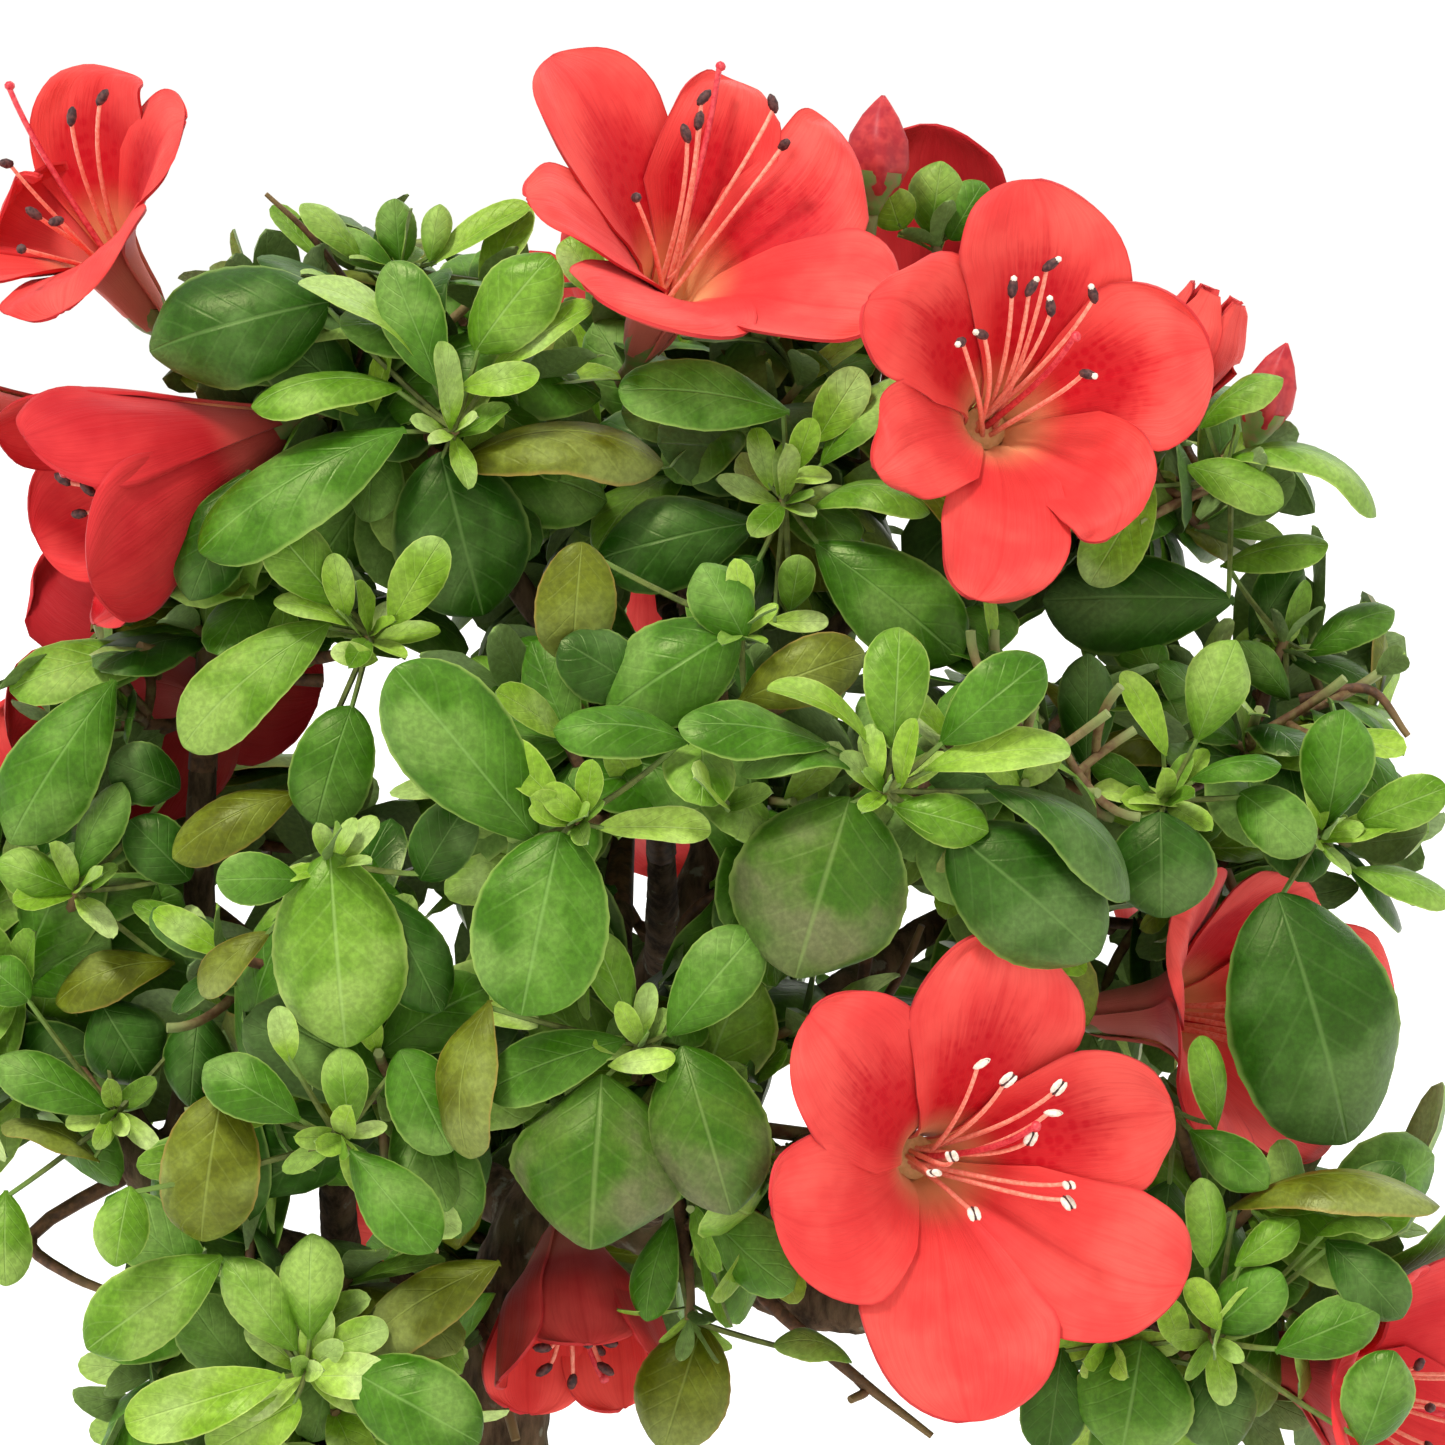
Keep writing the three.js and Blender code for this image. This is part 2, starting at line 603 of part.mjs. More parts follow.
// Tips of a mass's shoots: the leads first, then draws over its sphere that favour the outside.
function shootTips(name, draw) {
  const { middle, radius, leads } = MASSES[name];
  const centre = vector(middle);
  const tips = leads.map(vector);
  const wanted = SHOOTS_PER_MASS + Math.floor(leads.length / 2);
  for (let attempt = 0; attempt < SHOOT_TRIES && tips.length < wanted; attempt++) {
    const direction = drawnDirection(draw);
    if (direction.dot(outwardAt(name)) < mix(...SHOOT_INWARD, draw())) {
      continue;
    }
    const tip = centre.clone().addScaledVector(direction, radius - SHOOT_INSET);
    const farEnough = () => tip.distanceTo(centre) > SHOOT_LEAST_REACH * radius;
    while (insideMass(name, tip) < SHOOT_CELL_MARGIN && farEnough()) {
      tip.lerp(centre, 0.1);
    }
    if (farEnough() && tips.every((other) => other.distanceTo(tip) > SHOOT_SPACING)) {
      tips.push(tip);
    }
  }
  return tips;
}

// The stem of a mass: on from its bough's tip, bending to the mass's middle.
function makeStem(name, feeder) {
  const centre = vector(MASSES[name].middle);
  const { place: end, radius } = feeder.axis.at(-1);
  const ahead = end.clone().sub(feeder.axis.at(-2).place).normalize();
  const start = end.clone().addScaledVector(ahead, CLEAR);
  const run = STEM_RUN * start.distanceTo(centre);
  const bend = start.clone().addScaledVector(ahead, run).lerp(centre, STEM_TURN);
  const joints = STEM_JOINTS.map((share) => bend.clone().lerp(centre, share));
  joints.push(start.clone().lerp(bend, TWIG_JOINTS[1]));
  const radii = [Math.max(radius, STEM_RADIUS), STEM_RADIUS, STEM_TAPER * STEM_RADIUS];
  return { line: [start, bend, centre], joints, solid: twigSolid([start, bend, centre], radii, ahead) };
}

// A stalk from a free joint to a foot below a bloom or bud, and straight on to its top.
function makeStalk(name, joints, base, aim, topOffset, topRadius, limbs, blooms) {
  const foot = base.clone().addScaledVector(aim, -STALK_STRAIGHT);
  const top = base.clone().addScaledVector(aim, topOffset);
  const bendOf = (from) => from.clone().lerp(foot, STALK_BEND);
  const joint = takeJoint(name, joints, foot, bendOf, limbs, blooms) ?? vector(MASSES[name].middle);
  const line = [joint, foot, top];
  return { line, solid: twigSolid(line, [TWIG_RADII[0], STALK_RADII[0], topRadius]) };
}

function budSolid(base, aim, { length, radius }) {
  const places = BUD_SHAPE.map(([share]) => base.clone().addScaledVector(aim, share * length));
  const frames = framesAlong(places, aim);
  return solidThroughRings(frames.map((frame, i) => ringAt(frame, BUD_SHAPE[i][1] * radius, BUD_SIDES)));
}

// One mass: a stem from its bough, shoots that branch from it, leaves, flower stalks and buds.
function growMass(name, feeder, limbs, blooms) {
  const draw = drawsFrom(MASSES[name].seed);
  const centre = vector(MASSES[name].middle);
  const stem = makeStem(name, feeder);
  const solids = [stem.solid];
  const lines = [stem.line];
  const joints = stem.joints;

  for (const bloom of blooms.filter((each) => each.mass === name)) {
    const others = blooms.filter((other) => other !== bloom);
    const { base, aim } = bloom;
    const stalk = makeStalk(name, joints, base, aim, -CLEAR, STALK_RADII[1], limbs, others);
    solids.push(stalk.solid);
    lines.push(stalk.line);
  }
  for (const bud of BUDS.filter((each) => each.mass === name)) {
    const base = vector(bud.base);
    const aim = vector(bud.aim).normalize();
    const stalk = makeStalk(name, joints, base, aim, 1, STALK_RADII[0], limbs, blooms);
    solids.push(stalk.solid, budSolid(base, aim, bud));
    lines.push([...stalk.line, base.clone().addScaledVector(aim, bud.length)]);
  }

  const shoots = [];
  for (const tip of shootTips(name, draw)) {
    const aim = tip.clone().sub(centre).normalize();
    aim.addScaledVector(outwardAt(name), SHOOT_OUTWARD).addScaledVector(UP, SHOOT_LIFT).normalize();
    const bendOf = (from) => tip.clone().addScaledVector(aim, -SHOOT_BEND * from.distanceTo(tip));
    const joint = takeJoint(name, joints, tip, bendOf, limbs, blooms);
    if (joint) {
      shoots.push({ tip, aim, line: [joint, bendOf(joint), tip] });
    }
  }
  lines.push(...shoots.map(({ line }) => line));

  const blades = [];
  for (const { tip, aim, line } of shoots) {
    const leaves = rosette(name, tip, aim, draw, { limbs, blooms, blades, lines });
    if (leaves.length > 0) {
      solids.push(twigSolid(line, [TWIG_RADII[0], TWIG_RADII[0], TWIG_RADII[1]]));
      solids.push(...leaves.map((points) => solidFrom(points, LEAF_FACES)));
    }
  }
  const solid = largestBody(wasm.Manifold.union(solids));
  return { solid, leaves: blades.length, shoots: shoots.length };
}

// Blooms

function placedBlooms() {
  const given = BLOOMS.map(({ name, form, lobe = form.lobe, mouth, aim, turn }) => {
    const direction = vector(aim).normalize();
    const base = vector(mouth).addScaledVector(direction, -form.height);
    return { name, form: { ...form, lobe }, base, aim: direction, turn: THREE.MathUtils.degToRad(turn) };
  });
  const form = { ...OPEN, lobe: BACK_BLOOM_LOBE };
  const behind = BACK_BLOOM_MASSES.map((mass, i) => {
    const { middle, radius } = MASSES[mass];
    const out = vector(middle).sub(vector(CROWN_MIDDLE));
    out.y = Math.abs(out.y) + BACK_BLOOM_LEAN;
    const aim = out.normalize().addScaledVector(UP, BACK_BLOOM_TILT).normalize();
    const base = vector(middle).addScaledVector(aim, radius - BACK_BLOOM_INSET);
    return { name: "behind_" + mass, form, base, aim, turn: i };
  });
  return [...given, ...behind].map((bloom) => ({ ...bloom, mass: massAt(bloom.base) }));
}

// A funnel of joined petals with its mouth along +Z: an outer and an inner skin that meet at the rim.
function bloomSolid(form) {
  const count = form.lobes * form.perLobe;
  const ring = (radiusOf, heightOf) =>
    Array.from({ length: count }, (_, i) => {
      const angle = (i / count) * 2 * Math.PI;
      const lobe = Math.sin((Math.PI * (i % form.perLobe)) / form.perLobe) ** PETAL_ROUNDING;
      const radius = radiusOf(lobe);
      return new THREE.Vector3(radius * Math.cos(angle), radius * Math.sin(angle), heightOf(lobe));
    });
  const rimRadius = (lobe) => mix(form.notch, form.lobe, lobe);
  const rimHeight = (lobe) => mix(form.notchHeight, form.height, lobe);
  const rings = [
    ring(() => form.base, () => 0),
    ring(() => form.tube, () => TUBE_SHARE * form.height),
    ring(() => form.throat, () => THROAT_SHARE * form.height),
    ring(rimRadius, rimHeight),
    ring((lobe) => rimRadius(lobe) - 0.4 * PETAL_WALL, (lobe) => rimHeight(lobe) + 0.9 * PETAL_WALL),
    ring(() => form.throat - PETAL_WALL, () => THROAT_SHARE * form.height + 0.7 * PETAL_WALL),
  ];
  return solidThroughRings(rings);
}

// Assembly

function namedMesh(name, solid, color, roughness) {
  const material = new THREE.MeshStandardMaterial({ color, roughness, metalness: 0 });
  const mesh = new THREE.Mesh(geometryOf(solid), material);
  mesh.name = name;
  return mesh;
}

function makeShrub() {
  const shrub = new THREE.Group();
  const wood = new THREE.Group();
  const foliage = new THREE.Group();
  const flowers = new THREE.Group();
  shrub.add(wood, foliage, flowers);

  const limbs = { trunk: makeTrunk() };
  for (const bough of BOUGHS) {
    limbs[bough.to] = makeBough(bough, limbs);
  }
  for (const [name, { solid }] of Object.entries(limbs)) {
    const nodeName = name === "trunk" ? name : "bough_" + name;
    wood.add(namedMesh(nodeName, solid, COLOURS.bark, 0.9));
  }

  const blooms = placedBlooms();
  Object.keys(MASSES).forEach((name, i) => {
    const feeder = limbs[name] ?? limbs.trunk;
    const grown = growMass(name, feeder, Object.values(limbs), blooms);
    const colour = COLOURS.leaves[i % COLOURS.leaves.length];
    const mesh = namedMesh("foliage_" + name, grown.solid, colour, 0.55);
    mesh.userData = { leaves: grown.leaves, shoots: grown.shoots };
    foliage.add(mesh);
  });

  for (const bloom of blooms) {
    const mesh = namedMesh("bloom_" + bloom.name, bloomSolid(bloom.form), COLOURS.petal, 0.6);
    mesh.position.copy(bloom.base);
    mesh.quaternion.setFromUnitVectors(UP, bloom.aim);
    mesh.rotateZ(bloom.turn);
    flowers.add(mesh);
  }
  return shrub;
}

export default makeShrub();
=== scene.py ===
"""A small evergreen azalea in flower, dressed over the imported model.

Places are worked out in millimetres, as in the model's source, and become metres where a mesh is made.
"""

import math

import bpy
import numpy as np
from mathutils import Matrix, Vector, noise


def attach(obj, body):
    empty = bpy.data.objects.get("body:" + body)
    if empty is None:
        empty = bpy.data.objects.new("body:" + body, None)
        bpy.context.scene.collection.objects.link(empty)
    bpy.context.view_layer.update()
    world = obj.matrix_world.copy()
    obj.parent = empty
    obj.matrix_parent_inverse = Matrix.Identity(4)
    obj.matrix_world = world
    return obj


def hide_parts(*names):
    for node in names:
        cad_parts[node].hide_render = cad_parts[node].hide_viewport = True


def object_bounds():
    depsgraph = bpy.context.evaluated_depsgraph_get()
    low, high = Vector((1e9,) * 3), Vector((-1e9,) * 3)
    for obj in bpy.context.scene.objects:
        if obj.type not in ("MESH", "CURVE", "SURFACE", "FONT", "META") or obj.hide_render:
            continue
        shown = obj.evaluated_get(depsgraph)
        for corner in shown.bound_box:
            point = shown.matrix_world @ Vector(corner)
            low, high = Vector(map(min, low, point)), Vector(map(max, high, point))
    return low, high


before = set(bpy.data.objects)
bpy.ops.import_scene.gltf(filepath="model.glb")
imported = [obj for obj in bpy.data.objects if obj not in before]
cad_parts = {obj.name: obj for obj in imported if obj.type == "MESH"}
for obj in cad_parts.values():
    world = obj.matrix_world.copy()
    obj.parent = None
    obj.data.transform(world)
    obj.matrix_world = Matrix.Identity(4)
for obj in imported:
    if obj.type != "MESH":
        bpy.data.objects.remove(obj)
cad_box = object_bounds()
bpy.ops.object.select_all(action="DESELECT")

MM = 0.001
UP = np.array([0.0, 0.0, 1.0])

# Camera: looks at VIEW_MIDDLE from VIEW_DISTANCE away, a few degrees downwards
VIEW_MIDDLE = np.array([22.7, -25.0, 171.2])
VIEW_DISTANCE = 1100.0
VIEW_DOWN = math.radians(4)
VIEW_WIDTH = 202.3
PICTURE = 1445
SENSOR_WIDTH = 36
NEAREST_SEEN = 0.01
FARTHEST_SEEN = 100
SIGHT_STEPS = 20
VIEW_AHEAD = np.array([0.0, math.cos(VIEW_DOWN), -math.sin(VIEW_DOWN)])
VIEW_RISE = np.array([0.0, math.sin(VIEW_DOWN), math.cos(VIEW_DOWN)])


def make_camera():
    camera = bpy.data.objects.new("camera", bpy.data.cameras.new("camera"))
    bpy.context.scene.collection.objects.link(camera)
    camera.location = Vector((VIEW_MIDDLE - VIEW_DISTANCE * VIEW_AHEAD) * MM)
    camera.rotation_euler = (math.radians(90) - VIEW_DOWN, 0, 0)
    camera.data.sensor_width = SENSOR_WIDTH
    camera.data.lens = SENSOR_WIDTH * VIEW_DISTANCE / VIEW_WIDTH
    camera.data.clip_start = NEAREST_SEEN
    camera.data.clip_end = FARTHEST_SEEN
    bpy.context.scene.camera = camera


make_camera()


def pixel_size(offset):
    """How wide a pixel is at places that are given from the middle of the view."""
    return VIEW_WIDTH / PICTURE * (VIEW_DISTANCE + offset @ VIEW_AHEAD) / VIEW_DISTANCE


def picture_place(points):
    """Where places show in the picture, as two arrays of pixels."""
    offset = np.atleast_2d(points) - VIEW_MIDDLE
    scale = pixel_size(offset)
    return PICTURE / 2 + offset[:, 0] / scale, PICTURE / 2 - (offset @ VIEW_RISE) / scale


def place_seen_at(column, row, depth):
    """The place with y = depth that shows at a pixel."""
    spot = np.array([0.0, depth, VIEW_MIDDLE[2]])
    for _ in range(SIGHT_STEPS):
        scale = pixel_size(spot - VIEW_MIDDLE)
        spot[0] = VIEW_MIDDLE[0] + (column - PICTURE / 2) * scale
        rise = (PICTURE / 2 - row) * scale - (depth - VIEW_MIDDLE[1]) * VIEW_RISE[1]
        spot[2] = VIEW_MIDDLE[2] + rise / VIEW_RISE[2]
    return spot


def seen_on_plane(column, row, place, normal):
    """Where the sight line through a pixel meets the plane through a place."""
    eye = VIEW_MIDDLE - VIEW_DISTANCE * VIEW_AHEAD
    offset = np.array([column - PICTURE / 2, 0, 0]) + (PICTURE / 2 - row) * VIEW_RISE
    way = VIEW_DISTANCE * VIEW_AHEAD + offset * VIEW_WIDTH / PICTURE
    return eye + way * ((place - eye) @ normal) / (way @ normal)


# The plant's own measures, as in the model's source

TRUNK_STATIONS = [
    (0, 0, 0, 12.5),
    (-3, 0, 16, 10.4),
    (-7.5, 0, 40, 9),
    (-10.8, 0, 65, 8.5),
    (-6.4, 0, 86, 7.8),
    (-0.7, 0, 101, 6.9),
    (5.1, 0, 111, 5.8),
    (13, -2, 131, 4.2),
    (18.3, -2, 144, 3.5),
    (21.2, -2, 151, 3.1),
    (20.6, 0, 160, 2.7),
    (18.1, 0, 187, 1.9),
]
# name of the mass that is fed: limb that it leaves, how far up, radii, places passed
BOUGHS = {
    "left_low": ("trunk", 0.33, (6.2, 3.6), [(-24, -4, 86), (-53, -4, 99)]),
    "low_left": ("trunk", 0.24, (4.2, 2.6), [(-20, -20, 56)]),
    "low_back": ("trunk", 0.27, (4.4, 2.8), [(-16, 22, 72)]),
    "low_right": ("trunk", 0.47, (6, 3.2), [(16, -6, 97), (40, -11, 87)]),
    "back_left": ("trunk", 0.43, (4.6, 2.6), []),
    "back": ("trunk", 0.53, (4.6, 2.6), []),
    "back_right": ("trunk", 0.6, (4, 2.4), []),
    "front": ("trunk", 0.66, (3.2, 2), []),
    "right": ("trunk", 0.74, (3.2, 2.2), [(34, -6, 147), (48, -4, 149)]),
    "top_left": ("trunk", 0.83, (2.6, 1.8), [(8, -3, 173), (-4, -6, 186)]),
    "top_right": ("trunk", 0.9, (2, 1.6), [(40, -2, 184)]),
    "back_top": ("trunk", 0.87, (2.2, 1.7), []),
    "low_front": ("low_right", 0.2, (3, 2), []),
    "front_left": ("left_low", 0.42, (3.4, 2.2), []),
    "front_right": ("right", 0.45, (2.4, 1.8), []),
    "left_up": ("left_low", 0.72, (3, 2), [(-52, 0, 128), (-52, -6, 150)]),
}
BOUGH_SAG = 0.1
BOUGH_END = 0.62
# middle and radius of each mass of foliage
MASSES = {
    "top_left": ((-24, -15, 218), 32),
    "top": ((24, 0, 212), 32),
    "top_right": ((74, 0, 208), 32),
    "left_up": ((-50, -12, 184), 32),
    "front": ((14, -52, 165), 33),
    "front_right": ((60, -48, 166), 32),
    "right": ((98, -6, 165), 33),
    "left_low": ((-82, -6, 138), 35),
    "front_left": ((-32, -48, 130), 33),
    "low_left": ((-40, -38, 84), 30),
    "low_right": ((92, -20, 98), 35),
    "low_front": ((22, -50, 120), 28),
    "back_top": ((12, 42, 200), 34),
    "back_left": ((-56, 44, 140), 36),
    "back_right": ((70, 46, 142), 36),
    "back": ((8, 66, 150), 36),
    "low_back": ((-6, 58, 96), 32),
}
MASS_NAMES = list(MASSES)
MASS_MIDDLES = np.array([MASSES[name][0] for name in MASS_NAMES], float)
MASS_RADII = np.array([MASSES[name][1] for name in MASS_NAMES], float)
CROWN_MIDDLE = np.array([8.0, 0.0, 150.0])

# Bloom forms: height, radii of the base, the tube and the throat, number of lobes, opening
OPEN = dict(height=33, base_radius=2.2, tube=5, throat=12, lobes=5, opening="wide")
SIX = dict(OPEN, lobes=6)
HALF = dict(OPEN, height=34, tube=4.6, throat=9, opening="bell")
SMALL = dict(OPEN, height=24, base_radius=2, tube=4, throat=8, opening="bell")
BUD = dict(OPEN, height=25, base_radius=2, throat=6.6, opening="closed")
# name, form, reach of the lobes, mouth, direction, turn in degrees
BLOOMS = [
    ("front", SIX, 31, (58, -72, 113), (0.36, -0.93, 0), 8),
    ("top", OPEN, 30, (22, -34, 245), (0.33, -0.68, 0.66), 20),
    ("top_right", SIX, 28, (66, -52, 218), (0.28, -0.93, 0.22), 0),
    ("top_left", OPEN, 28, (-74, -12, 249), (-0.45, -0.6, 0.66), 0),
    ("left_edge", OPEN, 24, (-100, -26, 216), (-0.85, -0.5, 0.1), 30),
    ("left_bell", HALF, 19, (-70, -36, 201), (-0.9, -0.25, -0.34), 10),
    ("behind_top", OPEN, 25, (57, 24, 238), (0.3, 0.6, 0.74), 0),
    ("right", OPEN, 30, (101, -24, 131), (0.75, -0.6, 0.1), 15),
    ("low_right", OPEN, 25, (121, -34, 78), (0.8, -0.5, -0.1), 0),
    ("drooping", SMALL, 14, (3, -31, 79), (0.1, -0.5, -0.85), 0),
    ("behind_left", OPEN, 25, (-60, 28, 176), (-0.35, 0.9, 0.1), 0),
    ("bud_right", BUD, 4.4, (93, -4, 231), (0.4, -0.1, 0.9), 0),
]
BACK_BLOOM_MASSES = ["back_top", "back_left", "back_right", "back", "low_back", "left_low"]
# closed buds: mass, base, direction, length, radius
BUDS = [
    ("top", (44, -6, 244), (0.1, 0, 1), 15, 4.4),
    ("top_right", (98, -10, 211), (0.3, -0.2, 0.9), 14, 3.6),
]

# The side in view: gaps where the sky shows (pixel and radius), the crown's upper outline, and the
# shoots that face the viewer: mass, pixel and depth of the tip, then for each leaf its kind, the pixels
# of its root and tip, and the width it shows
SKY_GAPS = [
    (345, 710, 42), (250, 895, 24), (665, 868, 40), (900, 925, 28), (1108, 935, 20),
    (800, 1095, 24), (60, 1300, 44), (565, 1430, 40), (780, 1410, 44), (1058, 640, 16),
    (650, 600, 14), (440, 945, 16), (350, 1215, 20), (635, 935, 12), (740, 1038, 12),
    (20, 760, 20),
]
CROWN_TOP = [
    (0, 650), (70, 650), (100, 590), (138, 330), (165, 290), (265, 205), (330, 195), (520, 200),
    (610, 225), (700, 300), (830, 180), (880, 165), (930, 155), (990, 165), (1100, 300),
    (1180, 400), (1285, 365), (1300, 440), (1395, 515), (1405, 590), (1415, 740), (1445, 770),
]
SHOWN_SHOOTS = [
    ("top_left", (455, 430, -42),
     "m405,428>203,548/88 m440,388>390,264/62 f475,352>552,254/76 y490,372>588,308/34 "
     "y460,388>536,374/32 y436,380>300,282/28 f402,388>250,406/42 d330,302>146,352/118 "
     "o445,470>672,462/50 d440,452>482,612/132 y450,430>440,345/26"),
    ("top_left", (400, 268, -20),
     "f362,262>302,205/32 m400,264>395,200/40 y430,266>525,208/28 y600,290>566,240/42 "
     "f430,262>440,205/30 m395,270>330,235/34"),
    ("left_up", (370, 635, -42),
     "y390,625>440,542/50 f340,606>268,522/62 y346,620>334,556/30 y356,626>276,602/24 "
     "f330,622>184,745/78 m352,706>314,832/80 o300,792>172,858/56 t378,660>332,652/24 "
     "d250,470>190,600/70"),
    ("front", (575, 820, -80),
     "b538,842>398,672/110 b560,832>522,1012/126 y560,806>500,745/40 t596,828>706,830/34 "
     "y582,820>545,788/30 m690,742>550,730/54 y586,812>592,762/26"),
    ("top", (785, 500, -38),
     "d758,522>588,562/92 m790,412>622,390/70 f820,466>908,378/46 y816,442>860,372/46 "
     "f812,508>942,512/32 m815,542>962,660/98 d762,560>702,604/46 t768,622>826,622/22 "
     "f790,612>800,556/36 y770,490>756,430/26 t776,480>830,478/18 o905,480>1030,578/52 "
     "y795,470>812,420/28"),
    ("front", (742, 628, -70),
     "m740,628>604,716/98 o738,702>872,650/64 o582,542>572,664/76 m745,640>700,560/60 "
     "d640,690>560,640/70"),
    ("front_right", (885, 790, -78),
     "f893,750>900,622/62 m940,744>1048,656/66 y925,770>1067,750/42 f892,806>990,832/50 "
     "k850,797>796,975/165 m830,746>682,726/50 y870,746>767,688/26 m872,776>730,772/28 "
     "y900,790>915,722/22 d952,832>1096,955/122 d985,786>1140,905/46 y880,780>870,725/22"),
    ("right", (1165, 800, -38),
     "d1086,772>1088,655/56 f1196,742>1238,637/62 y1166,756>1124,675/30 t1180,806>1095,792/24 "
     "m1150,790>1092,760/32 d1160,812>1162,918/106 m1240,792>1312,852/62 m1190,780>1282,765/28 "
     "m1128,860>1010,880/60"),
    ("right", (1320, 835, -32),
     "m1326,826>1346,704/72 f1352,826>1445,788/50 d1277,893>1350,1150/165 y1320,842>1406,820/28 "
     "f1350,868>1450,902/32 y1322,830>1312,770/24 m1270,870>1190,930/40"),
    ("top_right", (1230, 480, -14),
     "f1186,466>1286,506/48 f1200,428>1286,376/34 f1222,460>1392,520/24 d1235,600>1045,600/104 "
     "y1152,480>1092,580/62"),
    ("right", (1285, 640, -6),
     "f1220,566>1326,545/38 m1306,656>1398,608/42 d1290,660>1378,690/32 d1250,640>1300,560/50 "
     "m1290,700>1240,640/40"),
    ("low_front", (640, 1045, -74),
     "k602,1074>590,1253/165 k682,1046>732,1216/112 m668,1036>757,930/72 f632,1026>592,930/44 "
     "t608,1066>673,1058/24 m625,1040>485,1092/62 o490,1000>468,1166/58 y640,1040>650,985/22"),
    ("front_left", (330, 860, -72),
     "f330,852>346,1050/126 d380,890>440,1010/70 o270,932>200,996/36 m300,880>215,880/50 "
     "d420,880>470,800/60"),
    ("front_left", (340, 1140, -70),
     "f350,1130>340,1048/44 m350,1150>432,1250/68 o222,1092>200,1250/94 f130,1186>115,1270/52 "
     "y290,1062>278,1008/28 m400,1050>450,1150/70 m300,1120>200,1060/60 y346,1140>318,1150/22"),
    ("low_left", (305, 1372, -64),
     "f222,1256>86,1350/80 f297,1352>224,1257/56 f310,1340>312,1228/60 y285,1376>132,1422/62 "
     "y320,1350>386,1328/36 t314,1376>386,1376/44 m350,1370>486,1447/92 o500,1262>362,1346/66 "
     "y300,1400>212,1450/60"),
    ("left_low", (75, 890, -38),
     "m115,680>4,852/92 m75,880>122,782/46 f76,892>-4,860/48 o175,962>50,1005/50 "
     "d180,790>110,760/60 d190,880>130,820/60"),
    ("left_low", (115, 1115, -38),
     "d100,1002>152,1086/84 m110,1112>-4,1060/54 f6,1190>6,1287/52 o100,1162>0,1124/26 "
     "d200,1010>190,1110/70 m30,1000>-20,960/50"),
    ("low_right", (1215, 1340, -50),
     "f1206,1270>1200,1176/40 f1235,1266>1298,1220/40 m1212,1330>1282,1272/62 "
     "m1275,1352>1380,1308/58 m1362,1447>1396,1346/70 d1326,1240>1406,1322/62 "
     "o1228,1208>1445,1204/24 y1220,1330>1190,1280/30 f1315,1236>1400,1230/16"),
    ("low_right", (1110, 1345, -46),
     "m1142,1340>1120,1460/118 d1062,1345>1048,1452/64 d1200,1360>1230,1450/80 "
     "y1180,1345>1165,1300/30"),
    ("low_right", (1175, 1110, -40),
     "f1216,1130>1200,1038/36 d1152,975>1156,1112/62 m1190,1130>1270,1190/50 "
     "d1170,1180>1160,1250/60"),
    ("low_front", (690, 1320, -44),
     "o702,1325>662,1452/92 m672,1218>646,1322/44 f852,1362>770,1344/26"),
    ("top_right", (935, 240, 2),
     "f930,235>942,160/56 y900,230>888,192/46 m950,240>985,180/44"),
]
# bare twigs in view: radii, then pixel and depth of each place; the thicker ones start at the
# nearest limb
BARE_TWIGS = [
    ((1.5, 0.5), [(760, 1290, -14), (855, 1376, -18), (932, 1436, -20)]),
    ((0.9, 0.6), [(858, 1378, -18), (866, 1390, -18), (850, 1400, -20)]),
    ((1.2, 0.6), [(30, 1240, -8), (70, 1275, -12), (120, 1296, -14)]),
    ((0.9, 0.5), [(1300, 700, -10), (1370, 690, -12), (1408, 736, -14)]),
    ((1.0, 0.5), [(860, 1030, -30), (900, 975, -34), (922, 925, -36)]),
    ((0.6, 0.35), [(360, 300, -18), (310, 235, -20), (266, 194, -22)]),
    ((1.2, 0.7), [(480, 1330, -8), (505, 1400, -12), (516, 1440, -14)]),
]
# pixels of the petals' tips and of the stamens' ends, and of the style's end, by bloom
PETAL_TIPS = {
    "front": [(1179, 1113), (1007, 932), (811, 1015), (770, 1208), (970, 1422), (1193, 1289)],
    "top": [(888, 318), (835, 118), (741, 75), (550, 55), (528, 195), (592, 292)],
    "top_right": [(1208, 348), (1032, 179), (868, 300), (880, 470), (976, 600), (1115, 535)],
    "top_left": [(185, 120), (128, 69), (37, 171), (-60, 300), (60, 320)],
    "right": [(1320, 885), (1400, 1000), (1335, 1150), (1205, 1135), (1180, 915)],
    "low_right": [(1395, 1290), (1520, 1330), (1520, 1460), (1420, 1510), (1340, 1390)],
}
ANTHER_PLACES = {
    "front": [
        (978, 1079), (1005, 1096), (1056, 1104), (1029, 1155), (953, 1172), (936, 1187),
        (1068, 1197), (1066, 1213), (973, 1224), (1049, 1126),
    ],
    "top": [(704, 108), (701, 132), (690, 145), (777, 115), (785, 154), (638, 205)],
    "top_right": [
        (1048, 280), (1030, 304), (1013, 305), (1052, 324), (1095, 311), (985, 348), (963, 354),
        (1085, 386),
    ],
    "top_left": [(96, 108), (67, 128), (33, 223), (55, 228), (5, 171), (17, 256)],
}
STYLE_PLACES = {"front": (1034, 1140), "top": (722, 75), "top_right": (1075, 350), "top_left": (5, 95)}
PALE_ANTHERS = ["front"]
DARK_ANTHERS = ["top", "top_left", "left_bell", "behind_top", "right", "drooping", "low_right"]
# blooms in shade, given darker copies of the petal red: painted shade, with some of the blooms' own
# darker tone
SHADED_DEEP_RED = ["left_bell", "left_edge", "low_right", "behind_left", "behind_top"]
# blooms that leaves must not hide: pixel, radius, and the depth that leaves stay behind
CLEAR_VIEWS = [
    (985, 1178, 200, -50), (1037, 390, 175, -34), (715, 200, 165, -10), (60, 175, 90, 10),
    (110, 480, 100, -14), (1190, 350, 60, 5), (877, 150, 40, 5), (1262, 1020, 56, -22),
    (560, 1325, 60, -20), (200, 720, 60, 20),
]

